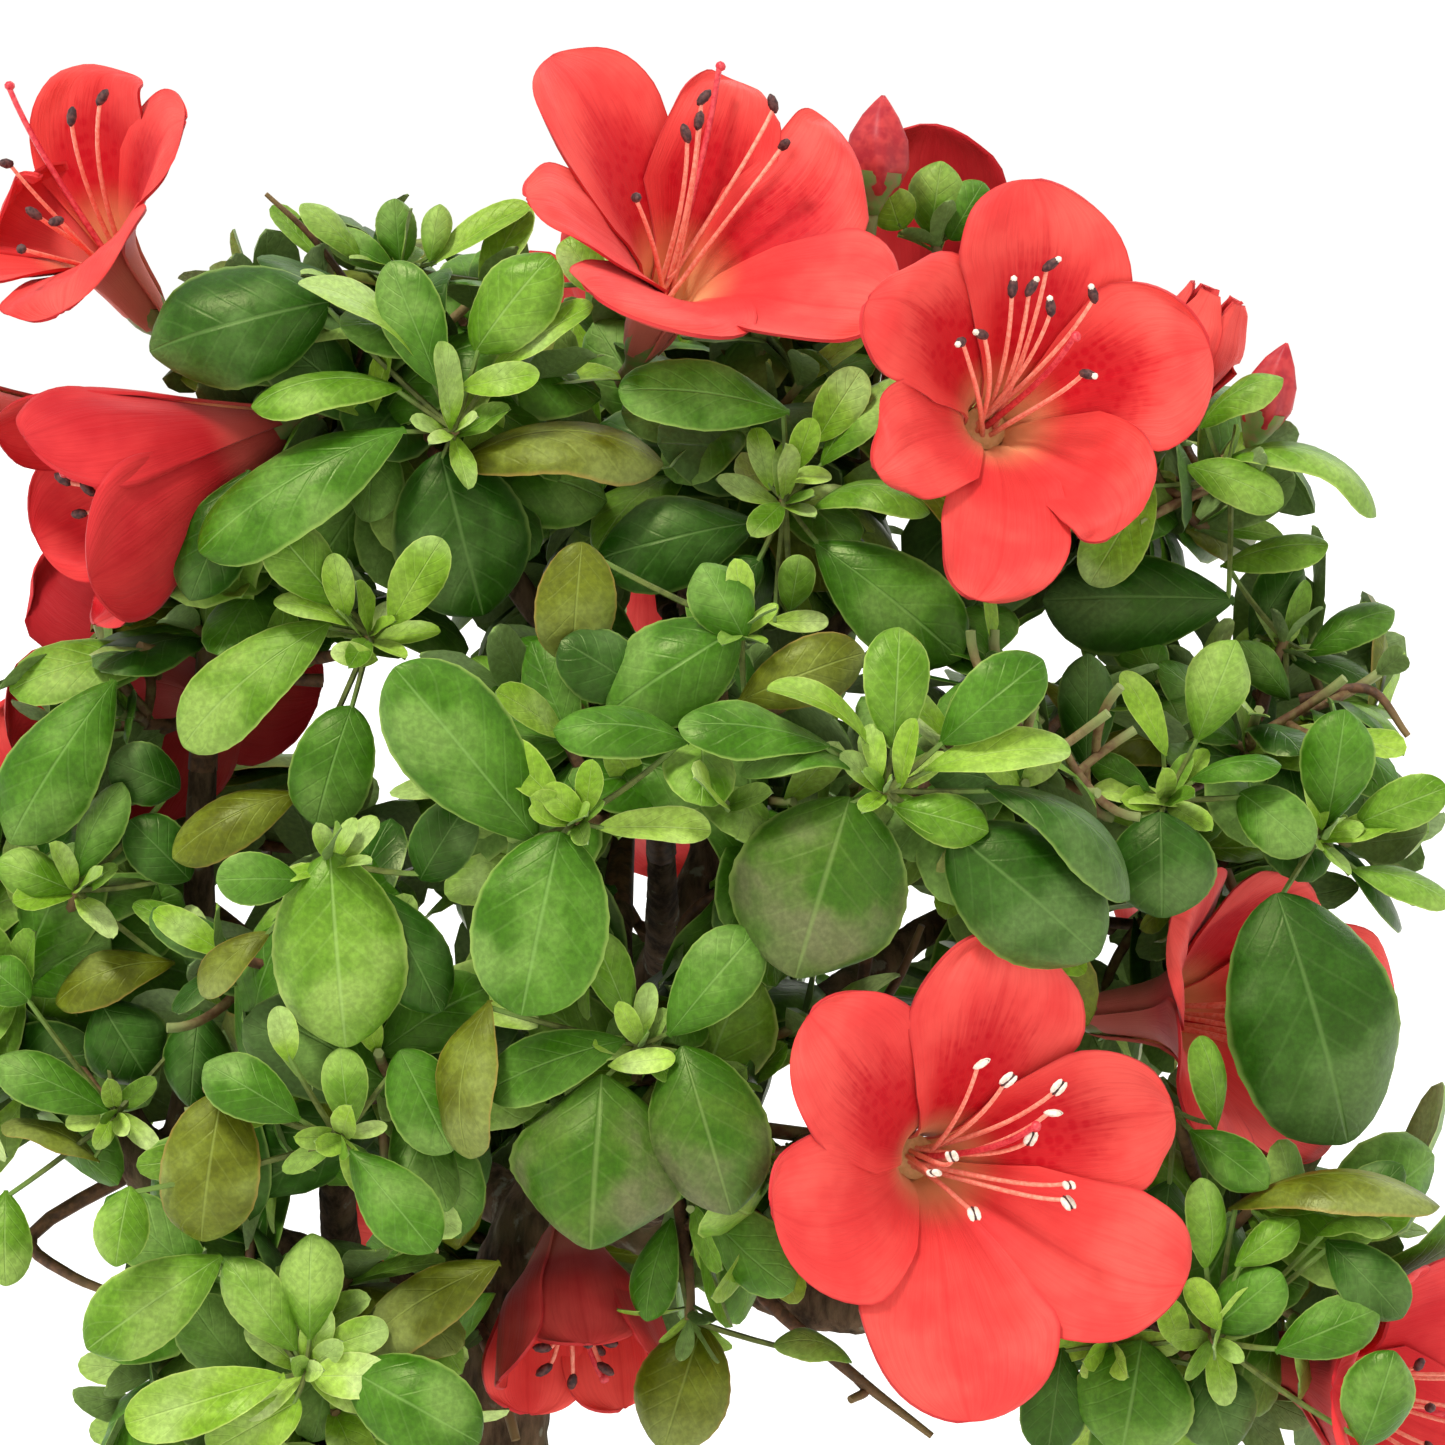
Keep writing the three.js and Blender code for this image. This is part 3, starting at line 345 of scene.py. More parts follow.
# Growth
MASS_SEED = 400
BLOOM_SEED = 900
TRUNK_STEPS = 60
BOUGH_STEP = 13
# blooms on the far side: reach, how deep they sit in their mass, how far they turn to the back
BACK_BLOOM_REACH = 26
BACK_BLOOM_INSET = 28
BACK_PULL = 20
BLOOM_SPARE = 12
# shoots of a mass: number, tries, spacing, how far they stay inside, share and reach of inner ones
SHOOTS_PER_MASS = 28
SHOOT_TRIES = 1600
SHOOT_SPACING = 9.5
SHOOT_INSET = 11
SHOOT_SKY_SPARE = 18
SHOOT_CELL_MARGIN = 2.5
OUTER_SHOOTS = 0.68
INNER_REACH = 0.55
LEAST_REACH = 0.28
# the picture's cells, in pixels, in which grown leaves stay behind the leaves in view
CROWN_SPARE = 6
COVER_CELL = 14
FREE_CELL = -1000
# twigs: radius above which a bare one starts at a limb, least radius, thinning, joints
SPRIG_RADIUS = 0.95
THINNEST_TWIG = 0.62
THINNER = 0.86
STALK_JOINT = 8
STEM_JOINTS = [0.1, 0.25, 0.4, 0.55, 0.7, 0.85, 0.97]
TWIG_JOINTS = [0.3, 0.6, 0.85]
# depths tried for a leaf in view, and how far it may reach past the model's front
DEPTH_SHIFTS = [0, -3, 3, -7, 7, 12]
FRONT_SPARE = 2.5
GOLDEN_ANGLE = math.radians(137.508)


def unit(values):
    values = np.asarray(values, float)
    return values / np.linalg.norm(values)


def mix(low, high, share):
    return low + (high - low) * share


def square_to(ahead):
    """A direction square to another."""
    helper = np.array([0.0, 1, 0]) if abs(ahead[0]) > 0.8 else np.array([1.0, 0, 0])
    return unit(helper - ahead * (helper @ ahead))


# Meshes from arrays

SHARP_ANGLE = math.radians(70)


class Pile:
    """Points, faces, finishes and pattern coordinates of one piece, gathered shape by shape."""

    def __init__(self):
        self.points, self.patterns, self.faces = [], [], []
        self.count = 0

    def add(self, points, faces, finish, pattern):
        """faces is a list of arrays of equal-sided faces; finish is one number, or a list like faces."""
        points = np.asarray(points, float).reshape(-1, 3)
        self.points.append(points)
        self.patterns.append(pattern)
        for number, group in enumerate(faces):
            group = np.asarray(group)
            numbers = finish[number] if isinstance(finish, list) else np.full(len(group), finish)
            self.faces.append((group + self.count, numbers))
        self.count += len(points)

    def add_tube(self, finish, *measures):
        points, faces, pattern = tube(*measures)
        self.add(points, faces, finish, pattern)

    def piece(self, name, finishes, slot, nodes):
        mesh = bpy.data.meshes.new(name)
        points = np.concatenate(self.points) * MM
        mesh.vertices.add(len(points))
        mesh.vertices.foreach_set("co", points.astype(np.float32).ravel())
        corners = np.concatenate([group.ravel() for group, _ in self.faces])
        sides = np.concatenate([np.full(len(group), group.shape[1]) for group, _ in self.faces])
        numbers = np.concatenate([given for _, given in self.faces])
        mesh.loops.add(len(corners))
        mesh.loops.foreach_set("vertex_index", corners.astype(np.int32))
        mesh.polygons.add(len(sides))
        starts = np.concatenate([[0], np.cumsum(sides)[:-1]])
        mesh.polygons.foreach_set("loop_start", starts.astype(np.int32))
        mesh.polygons.foreach_set("material_index", numbers.astype(np.int32))
        mesh.update(calc_edges=True)
        mesh.validate()
        pattern = mesh.uv_layers.new(name="pattern")
        spread = np.concatenate(self.patterns)[corners]
        pattern.data.foreach_set("uv", spread.astype(np.float32).ravel())
        mesh.shade_smooth()
        mesh.set_sharp_from_angle(angle=SHARP_ANGLE)
        for finish in finishes:
            mesh.materials.append(finish)
        made = bpy.data.objects.new(name, mesh)
        bpy.context.scene.collection.objects.link(made)
        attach(made, "root")
        if nodes:
            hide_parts(*nodes)
        return made


def frames_along(places, first_ahead=None):
    """The way ahead and two directions across it at each place, without twist."""
    places = np.asarray(places, float)
    ways = np.gradient(places, axis=0)
    ways /= np.linalg.norm(ways, axis=1)[:, None]
    if first_ahead is not None:
        ways[0] = first_ahead
    across = [square_to(ways[0])]
    for way in ways[1:]:
        across.append(unit(across[-1] - way * (across[-1] @ way)))
    across = np.array(across)
    return ways, across, np.cross(ways, across)


def tube(places, radii, sides, swell=None, first_ahead=None):
    """Points and faces of a closed tube along places."""
    ways, across, over = frames_along(places, first_ahead)
    angles = np.arange(sides) / sides * 2 * math.pi
    reach = np.asarray(radii, float)[:, None] * np.ones(sides)
    if swell is not None:
        reach = reach * swell(angles, np.asarray(places))
    points = (
        np.asarray(places)[:, None]
        + across[:, None] * (reach * np.cos(angles))[..., None]
        + over[:, None] * (reach * np.sin(angles))[..., None]
    )
    rings = len(places)
    ring = np.arange(sides)
    beside = (ring + 1) % sides
    starts = np.arange(rings - 1)[:, None] * sides
    here, there = (starts + ring).ravel(), (starts + beside).ravel()
    quads = np.stack([here, there, there + sides, here + sides], 1)
    last = (rings - 1) * sides
    foot = np.stack([beside, ring, np.full(sides, rings * sides)], 1)
    head = np.stack([last + ring, last + beside, np.full(sides, rings * sides + 1)], 1)
    points = np.concatenate([points.reshape(-1, 3), [places[0]], [places[-1]]])
    along = np.concatenate([np.repeat(np.linspace(0, 1, rings), sides), [0, 1]])
    turned = np.concatenate([np.tile(angles / (2 * math.pi), rings), [0, 0]])
    return points, [quads, np.concatenate([foot, head])], np.stack([turned, along], 1)


# Limbs


def smooth_line(points, share):
    """A place on the smooth curve through points, as in the model's source."""
    along = (len(points) - 1) * share
    index = min(int(along), len(points) - 2)
    weight = along - index
    p1, p2 = points[index], points[index + 1]
    p0 = points[index - 1] if index > 0 else 2 * points[0] - points[1]
    p3 = points[index + 2] if index + 2 < len(points) else 2 * points[-1] - points[-2]
    d0, d1, d2 = (np.linalg.norm(b - a) ** 0.5 for a, b in ((p0, p1), (p1, p2), (p2, p3)))
    t1 = ((p1 - p0) / d0 - (p2 - p0) / (d0 + d1) + (p2 - p1) / d1) * d1
    t2 = ((p2 - p1) / d1 - (p3 - p1) / (d1 + d2) + (p3 - p2) / d2) * d1
    square, cube = -3 * p1 + 3 * p2 - 2 * t1 - t2, 2 * p1 - 2 * p2 + t1 + t2
    return p1 + t1 * weight + square * weight**2 + cube * weight**3


def limb_axis(points, radii, steps):
    points = np.asarray(points, float)
    shares = np.arange(steps + 1) / steps
    places = np.array([smooth_line(points, share) for share in shares])
    return places, np.interp(shares * (len(points) - 1), range(len(radii)), radii)


def on_axis(axis, share):
    along = share * (len(axis[0]) - 1)
    index = min(int(along), len(axis[0]) - 2)
    return mix(axis[0][index], axis[0][index + 1], along - index)


def mass_space(name):
    """The middle and the radius of a mass."""
    middle, radius = MASSES[name]
    return np.array(middle, float), radius


def bough_axis(name, limbs):
    parent, at, radii, via = BOUGHS[name]
    middle, radius = mass_space(name)
    start = on_axis(limbs[parent], at)
    via = [np.array(place, float) for place in via]
    before = via[-1] if via else start
    end = middle + unit(before - middle) * radius * BOUGH_END
    if not via:
        via = [mix(start, end, 0.5) - UP * BOUGH_SAG * np.linalg.norm(end - start)]
    places = [start, *via, end]
    length = sum(np.linalg.norm(b - a) for a, b in zip(places, places[1:]))
    steps = 4 * math.ceil(length / BOUGH_STEP)
    return limb_axis(places, np.linspace(radii[0], radii[1], len(places)), steps)


trunk_places = [station[:3] for station in TRUNK_STATIONS]
limbs = {"trunk": limb_axis(trunk_places, [station[3] for station in TRUNK_STATIONS], TRUNK_STEPS)}
for bough in BOUGHS:
    limbs[bough] = bough_axis(bough, limbs)

limb_starts = np.concatenate([places[:-1] for places, _ in limbs.values()])
limb_ways = np.concatenate([np.diff(places, axis=0) for places, _ in limbs.values()])
limb_radii = np.concatenate([radii[:-1] for _, radii in limbs.values()])
limb_squares = (limb_ways**2).sum(1)


def limb_gaps(points):
    """The gap between each place and each stretch of limb."""
    offset = points[:, None] - limb_starts
    share = np.clip((offset * limb_ways).sum(2) / limb_squares, 0, 1)
    return np.linalg.norm(offset - share[..., None] * limb_ways, axis=2) - limb_radii


def gap_to_limbs(points):
    return limb_gaps(points).min(1)


# Blooms as placed


def placed_blooms():
    made = []
    for name, form, lobe, mouth, aim, turn in BLOOMS:
        aim = unit(aim)
        base = np.array(mouth, float) - aim * form["height"]
        made.append(dict(form, name=name, lobe=lobe, base=base, aim=aim, turn=math.radians(turn)))
    for i, mass in enumerate(BACK_BLOOM_MASSES):
        middle, radius = mass_space(mass)
        out = middle - CROWN_MIDDLE
        out[1] = abs(out[1]) + BACK_PULL
        aim = unit(unit(out) + 0.25 * UP)
        base = middle + aim * (radius - BACK_BLOOM_INSET)
        name = "behind_" + mass
        made.append(dict(OPEN, name=name, lobe=BACK_BLOOM_REACH, base=base, aim=aim, turn=float(i)))
    for bloom in made:
        pulls = ((MASS_MIDDLES - bloom["base"]) ** 2).sum(1) - MASS_RADII**2
        bloom["mass"] = MASS_NAMES[int(pulls.argmin())]
    return made


def bloom_span(bloom):
    return max(bloom["lobe"], 0.7 * bloom["height"]) + BLOOM_SPARE


blooms = placed_blooms()
bloom_middles = np.array([bloom["base"] + 0.6 * bloom["height"] * bloom["aim"] for bloom in blooms])
bloom_spans = np.array([bloom_span(bloom) for bloom in blooms])


def meets_bloom(points, margin, skip=None):
    met = np.zeros(len(points), bool)
    apart = np.linalg.norm(points[:, None] - bloom_middles, axis=2).min(0)
    for index in np.flatnonzero(apart < bloom_spans):
        bloom = blooms[index]
        if bloom is skip:
            continue
        offset = points - bloom["base"]
        height = offset @ bloom["aim"]
        high = bloom["height"]
        marks = [-4, 0, 0.45 * high, 0.7 * high, 0.8 * high, high + 3]
        reaches = [bloom["base_radius"], bloom["base_radius"], bloom["tube"], bloom["throat"]]
        reaches += [0.85 * bloom["lobe"], bloom["lobe"]]
        reach = np.interp(height, marks, reaches, left=-99, right=-99)
        apart = np.linalg.norm(offset - height[:, None] * bloom["aim"], axis=1)
        met |= apart < reach + margin
    return met


# Spaces of the masses


def inside_mass(name, points):
    """How far places lie inside the planes that part their mass from its neighbours."""
    own = MASS_NAMES.index(name)
    pulls = ((points[:, None] - MASS_MIDDLES) ** 2).sum(2) - MASS_RADII**2
    apart = 2 * np.linalg.norm(MASS_MIDDLES - MASS_MIDDLES[own], axis=1)
    apart[own] = 1
    depths = (pulls - pulls[:, own : own + 1]) / apart
    depths[:, own] = np.inf
    return depths.min(1)


def outward_at(name):
    return unit(mass_space(name)[0] - CROWN_MIDDLE)


def seen_through_gap(points, grow):
    columns, rows = picture_place(points)
    hit = np.zeros(len(columns), bool)
    for column, row, radius in SKY_GAPS:
        hit |= (columns - column) ** 2 + (rows - row) ** 2 < (radius + grow) ** 2
    return hit


def hides_bloom(points):
    columns, rows = picture_place(points)
    hit = np.zeros(len(columns), bool)
    for column, row, radius, depth in CLEAR_VIEWS:
        near = (columns - column) ** 2 + (rows - row) ** 2 < radius**2
        hit |= near & (points[:, 1] < depth)
    return hit


crown_columns, crown_rows = np.array(CROWN_TOP, float).T
shown_cells = {}


def above_crown(points):
    columns, rows = picture_place(points)
    limit = np.interp(columns, crown_columns, crown_rows)
    return bool((rows < limit - CROWN_SPARE).any())


def cells_seen(points):
    """The picture's cell and the depth of each place."""
    columns, rows = picture_place(points)
    for column, row, depth in zip(columns, rows, points[:, 1]):
        yield (int(column // COVER_CELL), int(row // COVER_CELL)), depth


def mark_shown(points):
    """Keep the depth of a leaf that the picture shows, cell by cell."""
    for cell, depth in cells_seen(points):
        shown_cells[cell] = max(shown_cells.get(cell, depth), depth)


def hides_shown(points):
    return any(depth < shown_cells.get(cell, FREE_CELL) + 1 for cell, depth in cells_seen(points))


# Leaves

LEAF_THICKNESS = 0.35
LEAF_STALK = 0.08
LEAF_SHOULDER = 0.12
LEAF_POINT = 0.04
LEAF_TEETH = 0.984


class LeafGrade:
    """How finely a leaf is made: its stations, places across, outline, faces and pattern."""

    def __init__(self, rows, columns, root_power=0.8, tip_power=0.5, teeth=LEAF_TEETH):
        self.stations = (1 - np.cos(np.linspace(0, math.pi, rows))) / 2
        self.across = np.sin(np.linspace(-math.pi / 2, math.pi / 2, columns))
        blunt = np.clip(self.stations, 0.0005, 0.9995)
        outline = blunt**root_power * (1 - blunt) ** tip_power
        self.outline = outline / outline.max()
        self.outline[0] = LEAF_STALK
        self.outline[1] = max(self.outline[1] * 0.75, LEAF_SHOULDER)
        self.outline[-1] = LEAF_POINT
        self.outline[4:-1:2] *= teeth
        base = rows * columns
        top = [
            (i * columns + j, i * columns + j + 1, (i + 1) * columns + j + 1, (i + 1) * columns + j)
            for i in range(rows - 1)
            for j in range(columns - 1)
        ]
        under = []
        for i in range(rows - 1):
            left, right = i * columns, i * columns + columns - 1
            under.append((left, left + columns, base + i + 1, base + i))
            under.append((base + i, base + i + 1, right + columns, right))
        ends = []
        for start, mid in ((0, base), ((rows - 1) * columns, base + rows - 1)):
            fan = [(start + j, start + j + 1, mid) for j in range(columns - 1)]
            ends += fan if start else [(b, a, c) for a, b, c in fan]
        self.faces = [np.array(top), np.array(under), np.array(ends)]
        spread = np.meshgrid((self.across + 1) / 2, self.stations)
        under_spread = np.stack([np.full(rows, 0.5), self.stations], 1)
        self.pattern = np.concatenate([np.stack(spread, 2).reshape(-1, 2), under_spread])

    def finishes(self, tint):
        top, under, ends = self.faces
        return [np.full(len(top), tint), np.full(len(under), UNDERSIDE), np.full(len(ends), tint)]


def leaf_points(leaf, grade):
    """The upper skin as stations x across, and the middle line of the underside."""
    stations, across = grade.stations, grade.across
    root, ahead, face = leaf["root"], leaf["ahead"], leaf["face"]
    length, half = leaf["length"], leaf["width"] * leaf["length"] / 2
    side = np.cross(ahead, face)
    steps = np.diff(stations)
    middles = (stations[1:] + stations[:-1]) / 2
    bend = leaf["lift"] - (leaf["lift"] + leaf["droop"]) * middles**1.2
    forward = np.concatenate([[0], np.cumsum(np.cos(bend) * steps)]) * length
    rise = np.concatenate([[0], np.cumsum(np.sin(bend) * steps)]) * length
    slope = leaf["lift"] - (leaf["lift"] + leaf["droop"]) * stations**1.2
    width = (grade.outline * half)[:, None]
    sideways = width * across
    lift = width * (leaf["fold"] * np.abs(across) - leaf["curl"] * across**2)
    ripple = np.sin(9 * stations + leaf["phase"])[:, None] * np.sign(across)
    lift = lift + leaf["wave"] * width * ripple * np.abs(across) ** 2
    turn = (leaf["twist"] * stations)[:, None]
    under = np.stack([-LEAF_THICKNESS * np.sin(-turn[:, 0]), -LEAF_THICKNESS * np.cos(turn[:, 0])])
    turned = sideways * np.cos(turn) - lift * np.sin(turn)
    lift = sideways * np.sin(turn) + lift * np.cos(turn)

    def set_in(across, over, slope, forward, rise):
        along = forward - np.sin(slope) * over
        height = rise + np.cos(slope) * over
        moved = across[..., None] * side, along[..., None] * ahead, height[..., None] * face
        return root + moved[0] + moved[1] + moved[2]

    top = set_in(turned, lift, slope[:, None], forward[:, None], rise[:, None])
    return top, set_in(under[0], under[1], slope, forward, rise)


# ranges of a leaf's measures in the order of the draws, for grown and for young leaves
LEAF_KINDS = {
    "m": dict(
        length=(20, 29),
        width=(0.46, 0.58),
        lift=(0.1, 0.4),
        droop=(0.3, 1.05),
        fold=(0.2, 0.42),
        curl=(0.45, 0.9),
        wave=(0.02, 0.16),
        phase=(0, 2 * math.pi),
        twist=(-0.4, 0.4),
    ),
    "y": dict(
        length=(11, 18),
        width=(0.34, 0.46),
        lift=(-0.1, 0.2),
        droop=(0.0, 0.4),
        fold=(0.35, 0.6),
        curl=(0.15, 0.4),
        wave=(0.02, 0.16),
        phase=(0, 2 * math.pi),
        twist=(-0.4, 0.4),
    ),
}
UNDERSIDE, DARK, MID, FRESH, OLIVE, YOUNG, TENDER, BRONZED = range(8)
TINTS = {
    "m": [MID, DARK, MID, FRESH, MID, DARK, OLIVE, FRESH, MID],
    "y": [YOUNG, YOUNG, TENDER, FRESH],
}
SHOWN_TINTS = dict(m=MID, d=DARK, f=FRESH, o=OLIVE, b=MID, k=BRONZED, y=YOUNG, t=TENDER)
FINE_LEAF = LeafGrade(27, 7)
BROAD_LEAF = LeafGrade(27, 7, 0.5, 0.42)
BROAD_WIDTH = 0.6
PLAIN_LEAF = LeafGrade(10, 5, teeth=1)


def leaf_grade(leaf):
    if "shown" not in leaf:
        return PLAIN_LEAF
    return BROAD_LEAF if leaf["width"] > BROAD_WIDTH else FINE_LEAF


def drawn_leaf(kind, root, ahead, face, draw, length=None):
    """A leaf with drawn measures; a length that is given takes no draw."""
    ahead = unit(ahead)
    leaf = dict(root=root, ahead=ahead, face=unit(face - ahead * (face @ ahead)), length=length)
    for measure, limits in LEAF_KINDS[kind].items():
        if leaf.get(measure) is None:
            leaf[measure] = mix(*limits, draw())
    leaf["tint"] = TINTS[kind][int(draw() * len(TINTS[kind]))]
    return leaf


# spaces that leaves keep free of each other, and how near leaves and twigs come to other things
CELL = 4.0
RIM_ROWS = [3, 4, 6, 7]
RIB_ROWS = [3, 5, 7, 9]
LEAF_OVERHANG = 6.5
LIMB_GAP = 0.8
BLOOM_GAP = 0.6
MASS_SPARE = 3
SKY_SPARE = 8
TWIG_LIMB_GAP = 1.6
TWIG_BLOOM_GAP = 1.2
TWIG_MASS_SPARE = 1.5
taken = {}


def leaf_samples(leaf):
    top, _ = leaf_points(leaf, PLAIN_LEAF)
    rim = top[RIM_ROWS][:, [0, 4]].reshape(-1, 3)
    return np.concatenate([rim, top[RIB_ROWS, 2]])


def too_close(points, gap):
    for point in points:
        x, y, z = (int(v // CELL) for v in point)
        for i in (x - 1, x, x + 1):
            for j in (y - 1, y, y + 1):
                for k in (z - 1, z, z + 1):
                    for other in taken.get((i, j, k), ()):
                        if sum((a - b) ** 2 for a, b in zip(point, other)) < gap**2:
                            return True
    return False


def take_space(points):
    for point in points:
        taken.setdefault(tuple(int(v // CELL) for v in point), []).append(tuple(point))


def leaf_fits(name, leaf, gap):
    samples = leaf_samples(leaf)
    middle, radius = mass_space(name)
    if (np.linalg.norm(samples - middle, axis=1) > radius + LEAF_OVERHANG).any():
        return False
    if gap_to_limbs(samples).min() < LIMB_GAP or meets_bloom(samples, BLOOM_GAP).any():
        return False
    if inside_mass(name, samples).min() < -MASS_SPARE:
        return False
    if seen_through_gap(samples, SKY_SPARE).any() or hides_bloom(samples).any():
        return False
    if above_crown(samples) or hides_shown(samples) or too_close(samples, gap):
        return False
    take_space(samples)
    return True


# Shoots


def twig_clear(name, joint, bend, tip, skip):
    shares = np.linspace(0.1, 1, 7)[:, None]
    places = np.concatenate([mix(joint, bend, shares[2:]), mix(bend, tip, shares)])
    if gap_to_limbs(places).min() < TWIG_LIMB_GAP or meets_bloom(places, TWIG_BLOOM_GAP, skip).any():
        return False
    return inside_mass(name, places).min() > -TWIG_MASS_SPARE


def take_joint(name, joints, tip, bend_of, skip=None):
    """The free joint that suits a tip best; it carries one twig, which brings new joints."""
    order = sorted(range(len(joints)), key=lambda i: np.linalg.norm(joints[i][0] - tip))
    for i in order:
        joint, radius = joints[i]
        bend = bend_of(joint)
        if np.linalg.norm(joint - tip) > 3 and twig_clear(name, joint, bend, tip, skip):
            joints.pop(i)
            thinner = max(THINNEST_TWIG, radius * THINNER)
            joints.extend((mix(joint, bend, share), thinner) for share in TWIG_JOINTS)
            return joint, radius, bend
    return None


def curve_through(line, count):
    """A smooth bend from the first to the last place, pulled towards the middle one."""
    a, b, c = (np.asarray(place, float) for place in line)
    shares = np.linspace(0, 1, count)[:, None]
    return (1 - shares) ** 2 * a + 2 * shares * (1 - shares) * mix((a + c) / 2, b, 0.85) + shares**2 * c


twigs = Pile()
leaves = {name: [] for name in MASS_NAMES}
AGED, GREEN, STEM = range(3)


def add_twig(line, radii, finish, sides=6, count=8):
    twigs.add_tube(finish, curve_through(line, count), np.linspace(*radii, count), sides)


def add_smooth_twig(places, radii, finish, sides, count=14):
    line = np.array([smooth_line(np.array(places), share) for share in np.linspace(0, 1, count)])
    twigs.add_tube(finish, line, np.linspace(*radii, count), sides)


def shown_leaf(kind, root_pixel, tip_pixel, seen_width, depth, draw):
    """A leaf between two pixels, rolled about its length until it shows the given width."""
    young = kind in "yt"
    root = place_seen_at(*root_pixel, depth)
    tip = place_seen_at(*tip_pixel, depth - mix(-2, 5, draw()))
    reach = np.linalg.norm(tip - root)
    ahead = (tip - root) / reach
    shows = seen_width * VIEW_WIDTH / PICTURE
    wide = max(shows, (0.36 if young else 0.44) * reach)
    roll = math.acos(min(1.0, shows / wide))
    towards = unit(-VIEW_AHEAD + ahead * (VIEW_AHEAD @ ahead))
    side = np.cross(ahead, towards)
    upper = side if side[2] > 0 else -side
    face = towards * math.cos(roll) + upper * math.sin(roll) + 0.12 * UP
    leaf = drawn_leaf("y" if young else "m", root, ahead, face, draw, reach * 1.05)
    droop = mix(*((0.15, 0.45) if young else (0.4, 0.85)), draw())
    if roll > 0.9:
        droop += 0.2
    leaf.update(droop=droop, lift=0.8 * droop, width=wide / reach, tint=SHOWN_TINTS[kind], shown=True)
    leaf["curl"] += 0.5 * max(0.0, wide / reach - 0.5)
    leaf["twist"] *= 0.5
    return leaf


def shown_leaves(tip, depth, row, draw):
    """The leaves of a shoot in view, each on a short stem from the shoot's end."""
    made = []
    for i, word in enumerate(row.split()):
        ends, seen_width = word[1:].split("/")
        root_pixel, tip_pixel = ([float(v) for v in end.split(",")] for end in ends.split(">"))
        for shift in DEPTH_SHIFTS:
            level = depth + shift + mix(-1.5, 1.5, draw()) + (2.0 if word[0] in "do" else -1.0)
            leaf = shown_leaf(word[0], root_pixel, tip_pixel, float(seen_width), level, draw)
            samples = leaf_samples(leaf)
            clear = gap_to_limbs(samples).min() > 0.4 and not meets_bloom(samples, -0.5).any()
            if clear and samples[:, 1].min() > cad_box[0][1] / MM - FRONT_SPARE:
                break
        else:
            continue
        take_space(samples)
        mark_shown(leaf_points(leaf, leaf_grade(leaf))[0].reshape(-1, 3))
        made.append(leaf)
        apart = np.linalg.norm(leaf["root"] - tip)
        if apart > 1:
            bend = mix(tip, leaf["root"], 0.5) + VIEW_AHEAD * 0.12 * apart - UP * 0.06 * apart
            thick = (0.5, 0.38) if apart > 8 else (0.38, 0.34)
            add_twig((tip, bend, leaf["root"] + leaf["ahead"]), thick, STEM, 5, 6)
    return made


def leaf_way(aim, turn, spread):
    """The way ahead and the upper side of a leaf, turned round a shoot and spread from it."""
    across = square_to(aim)
    out = across * math.cos(turn) + np.cross(aim, across) * math.sin(turn)
    ahead = aim * math.cos(spread) + out * math.sin(spread)
    return ahead, aim * math.sin(spread) - out * math.cos(spread) + 0.25 * UP


# new leaves at a shoot's end, outer ones first: number and angles from the shoot
BUDDING = [(5, (35, 85)), (2, (10, 25))]
# leaves of a shoot, outer ones first: kind, number, angles from the shoot and least gap
ROSETTE = [("m", 6, (70, 95), 1.9), ("m", 4, (42, 62), 1.9), ("y", 3, (18, 45), 1.2)]
LEAF_TRIES = 9
LEAF_SHIFT = 0.45
LEAF_SHRINK = 0.045


def budding(tip, aim, draw):
    """Small new leaves round the end of a shoot in view."""
    spreads = [limits for number, limits in BUDDING for _ in range(number)]
    made = []
    for i, limits in enumerate(spreads):
        turn = i * GOLDEN_ANGLE + draw()
        ahead, face = leaf_way(aim, turn, math.radians(mix(*limits, draw())))
        root = tip - aim * 0.3 * (len(spreads) - i)
        leaf = drawn_leaf("y", root, ahead, face, draw, mix(6, 10.5, draw()))
        samples = leaf_samples(leaf)
        if gap_to_limbs(samples).min() > 0.3 and not meets_bloom(samples, 0).any():
            take_space(samples)
            made.append(leaf)
    return made


def rosette(name, tip, aim, draw):
    """Leaves round the end of a shoot by the golden angle."""
    first = draw() * 2 * math.pi
    wanted = [(kind, limits, gap) for kind, number, limits, gap in ROSETTE for _ in range(number)]
    made = []
    for i, (kind, limits, gap) in enumerate(wanted):
        root = tip - aim * (9 * (len(wanted) - i) / (len(wanted) + 1))
        for attempt in range(LEAF_TRIES):
            turn = first + i * GOLDEN_ANGLE + attempt * LEAF_SHIFT
            ahead, face = leaf_way(aim, turn, math.radians(mix(*limits, draw())))
            leaf = drawn_leaf(kind, root, ahead, face, draw)
            leaf["length"] *= 1 - LEAF_SHRINK * attempt
            if leaf_fits(name, leaf, gap):
                made.append(leaf)
                break
    return made


def grow_shoot(name, joints, tip):
    """Where the end of a shoot points, and the joint, radius and bend of its twig, if there is one."""
    aim = unit(unit(tip - mass_space(name)[0]) + 0.4 * outward_at(name) + 0.35 * UP)
    found = take_joint(name, joints, tip, lambda j: tip - aim * 0.4 * np.linalg.norm(tip - j))
    return aim, found


def grow_stalk(name, joints, foot, skip=None):
    """The joint that a stalk starts from."""
    found = take_joint(name, joints, foot, lambda j: mix(j, foot, 0.9), skip)
    return found[0] if found else mass_space(name)[0]


